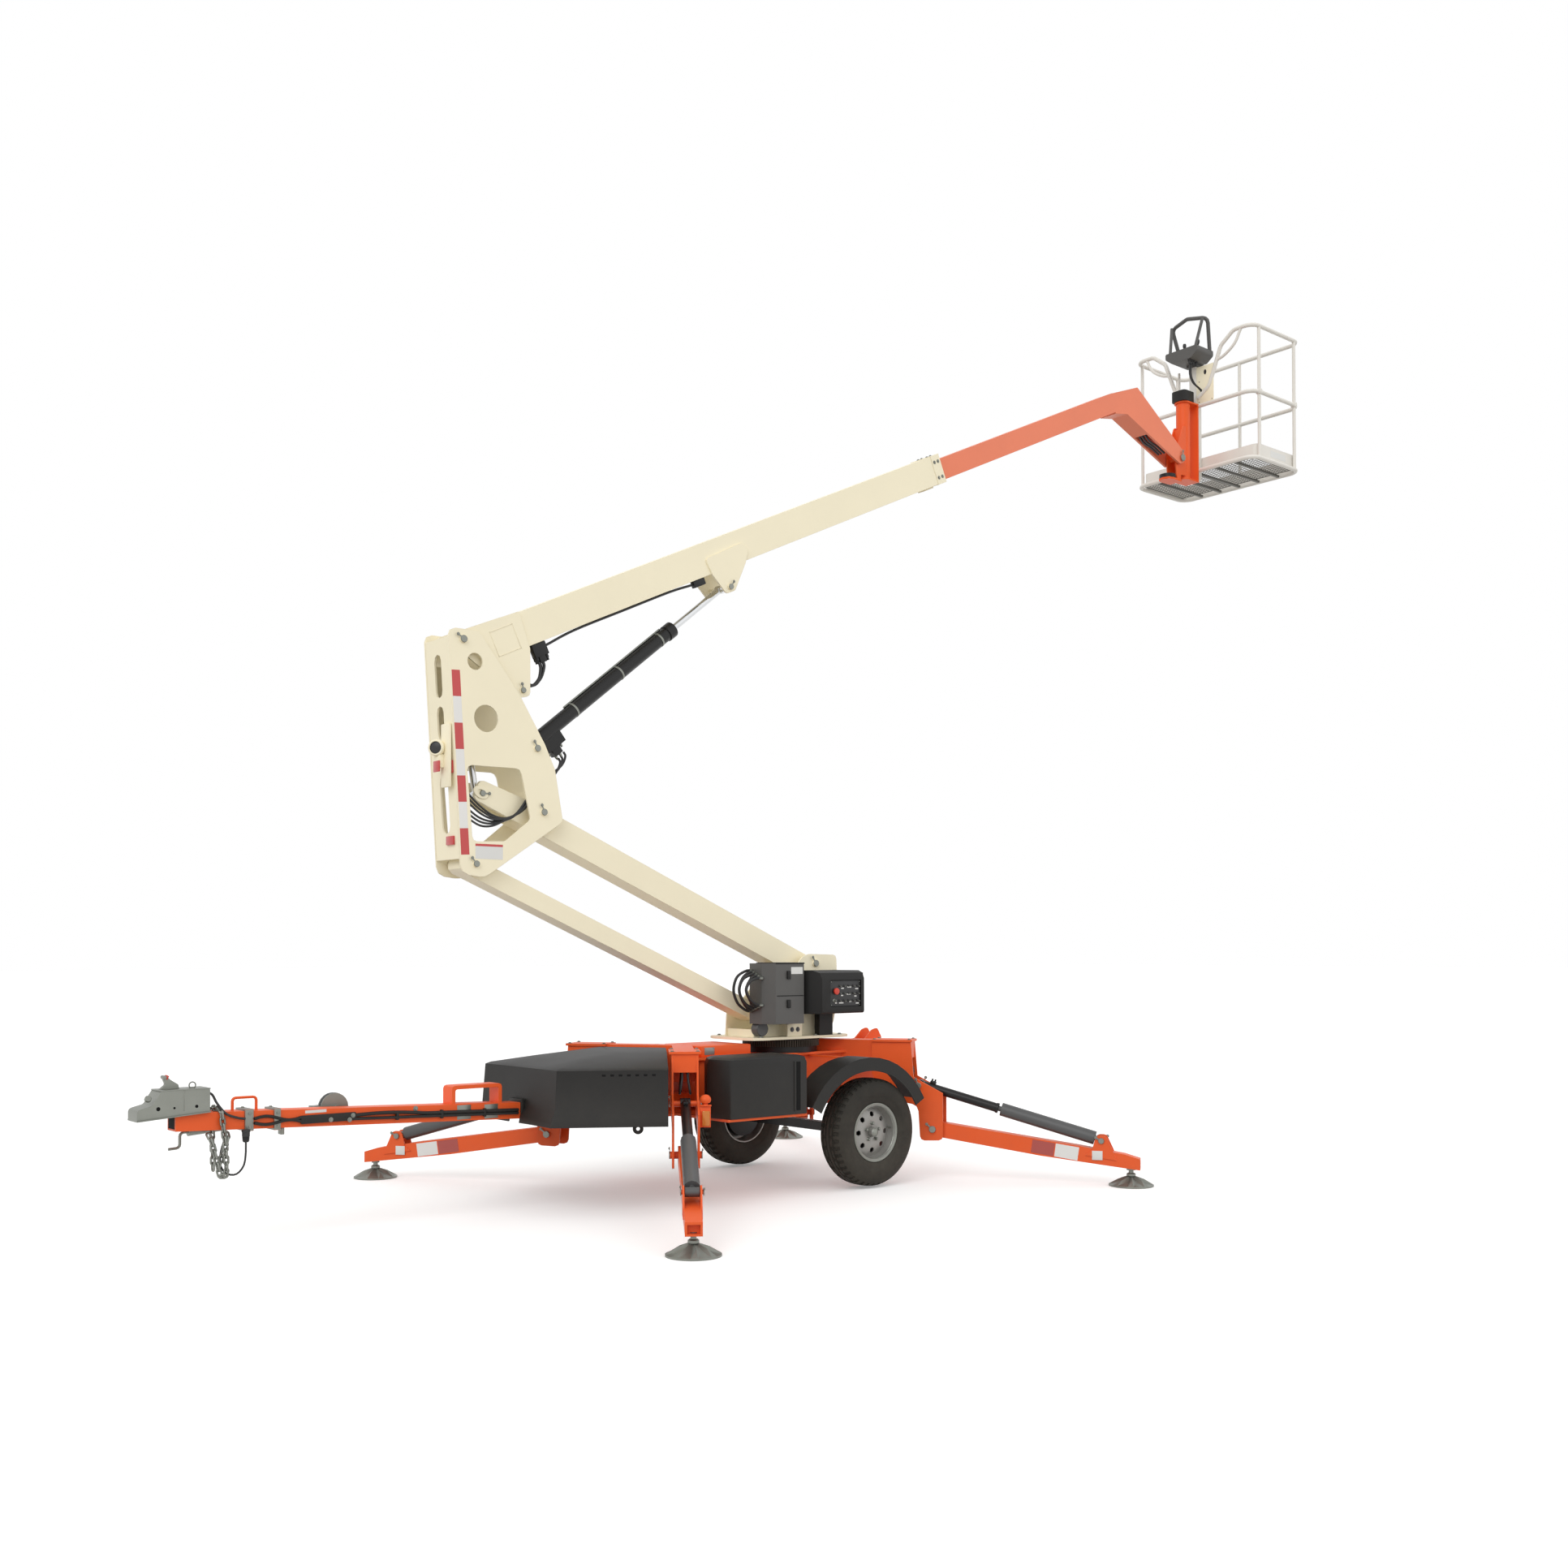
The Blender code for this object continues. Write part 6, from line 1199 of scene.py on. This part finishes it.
# Platform: a welded basket of round white rails on the carrier that the rotator turns. The rails
# are bent tube, with hoops at the corners and a wide post at the carrier.
rail_paint = finish("rail_paint", "rail", (0.80, 0.775, 0.72), 0.38, grain=0.10, tone=0.05)
refinish(orange, "basket_carrier")
refinish(charcoal, "carrier_cap")
refinish(rail_paint, "toe_boards")
BASKET = at(*axis_place("platform_turn"))
FRONT, LENGTH, HALF = 0.147, 0.720, 0.610
REAR = FRONT + LENGTH - 0.0027
FLOOR, MID, TOP = -0.051, 0.519, 1.089
RAIL = 0.018
POSTS = [(x, y) for y in (-HALF, HALF) for x in (FRONT + 0.09, REAR - 0.09)]


def bend(corners, radius, steps=6, closed=False):
    """A path in space with every corner rounded to one radius."""
    path = []
    for i, here in enumerate(corners):
        here = Vector(here)
        if not closed and i in (0, len(corners) - 1):
            path.append(here)
            continue
        back = (Vector(corners[i - 1]) - here).normalized()
        onward = (Vector(corners[(i + 1) % len(corners)]) - here).normalized()
        half = back.angle(onward) / 2
        centre = here + (back + onward).normalized() * radius / math.sin(half)
        start = here + back * radius / math.tan(half) - centre
        end = here + onward * radius / math.tan(half) - centre
        turn = math.pi - 2 * half
        for k in range(steps + 1):
            share = turn * k / steps
            path.append(centre + (start * math.sin(turn - share) + end * math.sin(share)) / math.sin(turn))
    return path


rails = Piece("basket_rails", BASKET)
loop = [(FRONT, -HALF), (REAR, -HALF), (REAR, HALF), (FRONT, HALF)]
for height in (FLOOR, MID):
    rails.take(bar(bend([(x, y, height) for x, y in loop], 0.100, closed=True), RAIL, 16, True))
dip = [(FRONT, y, TOP - drop) for y, drop in ((-0.055, 0.50), (-0.17, 0.42), (-0.29, 0.10), (-0.42, 0.0))]
hoop = dip + [(x, y, TOP) for x, y in loop] + [(x, -y, z) for x, y, z in reversed(dip)]
rails.take(bar(bend(hoop, 0.09), RAIL, 16))
for x, y in POSTS + [(REAR, 0.0)]:
    rails.take(bar([Vector((x, y, z)) for z in (FLOOR, MID, TOP)], RAIL * 0.84, 16))
rails.box((FRONT - 0.004, -0.036, FLOOR - 0.075), (FRONT + 0.078, 0.036, FLOOR + 0.930), 0.006)
# the narrow post beside the wide one, and the handholds
rails.tube([(FRONT + 0.010, 0.150, MID), (FRONT + 0.010, 0.150, MID + 0.35)], 0.011, 1)
for side in (-1, 1):
    grab = ((0.250, 0.215), (0.330, 0.190), (0.430, 0.120), (0.490, 0.012))
    rails.tube([(FRONT, side * y, TOP - drop) for y, drop in grab], 0.013, 5)
rails.hang("basket", rail_paint, "basket_frame")
clamps = Piece("rail_clamps", BASKET)
for x, y in POSTS:
    clamps.box((x - 0.021, y - 0.021, MID - 0.022), (x + 0.021, y + 0.021, MID + 0.022), 0.006)
clamps.hang("basket", rail_paint)

# Floor of the platform: an open steel grating, bearing bars one way and twisted cross bars the
# other, framed by a flat edge.
grating = finish("grating_steel", "grate", (0.15, 0.145, 0.13), 0.55, 0.6, grain=0.30, tone=0.12)
mesh_floor = Piece("basket_grating", BASKET)
low_x, high_x, edge_y = FRONT + 0.090, REAR - 0.060, HALF - 0.030
low_z, high_z = FLOOR + 0.0105, FLOOR + 0.0165
net = bmesh.new()
bmesh.ops.create_grid(net, x_segments=18, y_segments=36, size=0.5)
bmesh.ops.scale(net, vec=(high_x - low_x - 0.012, 2 * edge_y - 0.012, 1.0), verts=net.verts)
wires = {"use_boundary": True, "use_even_offset": True, "use_replace": True}
bmesh.ops.wireframe(net, faces=net.faces[:], thickness=0.0052, **wires)
mesh_floor.take(net, at((low_x + high_x) / 2, 0, FLOOR + 0.0135))
for y in (-edge_y, edge_y):
    mesh_floor.box((low_x, y - 0.006, low_z), (high_x, y + 0.006, high_z), 0.001)
for x in (low_x, high_x):
    mesh_floor.box((x - 0.006, -edge_y, low_z), (x + 0.006, edge_y, high_z), 0.001)
for y in (-0.40, -0.20, 0.0, 0.20, 0.40):
    mesh_floor.box((FRONT, y - 0.012, FLOOR - 0.010), (REAR, y + 0.012, FLOOR + 0.010), 0.002)
mesh_floor.hang("basket", grating, "basket_floor")

# Platform console: a grey moulded box under its guard loop, with joystick, stop and switches on
# a black face, the operator's blank card on the post and the cable that feeds it.
refinish(grey_moulding, "platform_console")
CONSOLE_X, CONSOLE_Z = FRONT - 0.060, FLOOR + 0.93
desk = Piece("console_face", BASKET)
desk_top = CONSOLE_Z + 0.120
desk.box((CONSOLE_X - 0.090, -0.145, desk_top), (CONSOLE_X + 0.110, 0.145, desk_top + 0.004), 0.002)
BOOT = [
    (0.030, 0.0), (0.027, 0.008), (0.029, 0.012), (0.021, 0.020), (0.023, 0.024), (0.012, 0.036),
    (0.0, 0.038),
]
STICK = [(0.007, 0.030), (0.008, 0.060), (0.014, 0.072), (0.016, 0.090), (0.012, 0.104), (0.0, 0.108)]
TOGGLE = [(0.008, 0.0), (0.008, 0.004), (0.004, 0.006), (0.004, 0.022), (0.0, 0.024)]
STOP = [(0.012, 0.0), (0.012, 0.010), (0.022, 0.014), (0.022, 0.022), (0.014, 0.028), (0.0, 0.029)]
for y in (-0.070, 0.070):
    desk.take(spun(BOOT, 28), at(CONSOLE_X + 0.040, y, desk_top + 0.004))
    desk.take(spun(STICK, 24), at(CONSOLE_X + 0.040, y, desk_top))
for y in (-0.11, -0.066, -0.022, 0.022, 0.066, 0.11):
    desk.take(spun(TOGGLE, 16), at(CONSOLE_X - 0.050, y, desk_top + 0.004))
desk.hang("basket", panel_black)
desk_stop = Piece("console_stop", BASKET)
desk_stop.take(spun(STOP, 28), at(CONSOLE_X + 0.045, 0.0, desk_top + 0.004))
desk_stop.hang("basket", red_plastic)
card = Piece("operator_card", BASKET)
card.box((FRONT - 0.002, -0.215, FLOOR + 0.585), (FRONT + 0.002, -0.040, FLOOR + 0.915), 0.001)
card.hang("basket", cream)
card_marks = Piece("operator_card_screws", BASKET)
forwards = about("Y", -math.pi / 2)
for y, z in ((-0.070, 0.60), (-0.200, 0.60), (-0.070, 0.78), (-0.200, 0.78)):
    card_marks.take(bolt(0.004, washer=False), at(FRONT - 0.002, y, FLOOR + z) @ forwards)
oval = Matrix.Diagonal((2.0, 1.2, 1.0, 1.0))
dot_place = at(FRONT - 0.002, -0.130, FLOOR + 0.855) @ forwards @ oval
card_marks.take(spun([(0.011, 0.0), (0.011, 0.002)], 24), dot_place)
card_marks.hang("basket", panel_black)
toe_plate = Piece("toe_board_plate", BASKET)
toe_plate.box((0.430, -0.5949, -0.004), (0.660, -0.5941, 0.050))
toe_plate.hang("basket", plate_white)
lead = Piece("platform_lead", BASKET)
base = CONSOLE_Z + SEAT
for shift in (0.0, -0.022):
    x = CONSOLE_X + shift
    route = [
        (x - 0.050, -0.060, base + 0.020), (x - 0.050, -0.060, base - 0.045),
        (x - 0.060, -0.070, base - 0.120), (x - 0.035, -0.084, base - 0.185),
        (FRONT - 0.010 + shift, -0.092, base - 0.225),
        (FRONT + 0.037, -0.080, base - 0.235 + shift), (FRONT + 0.037, -0.036, base - 0.235 + shift),
    ]
    lead.tube(route, 0.0065)
GLAND = [(0.016, 0.0), (0.016, 0.014), (0.012, 0.018), (0.010, 0.036)]
for shift in (-0.050, -0.072, -0.020, 0.020):
    lead.take(spun(GLAND, 20), at(CONSOLE_X + shift, -0.060, CONSOLE_Z + 0.0215) @ about("X", math.pi))
lead.hang("basket", hose_rubber, "platform_cable")
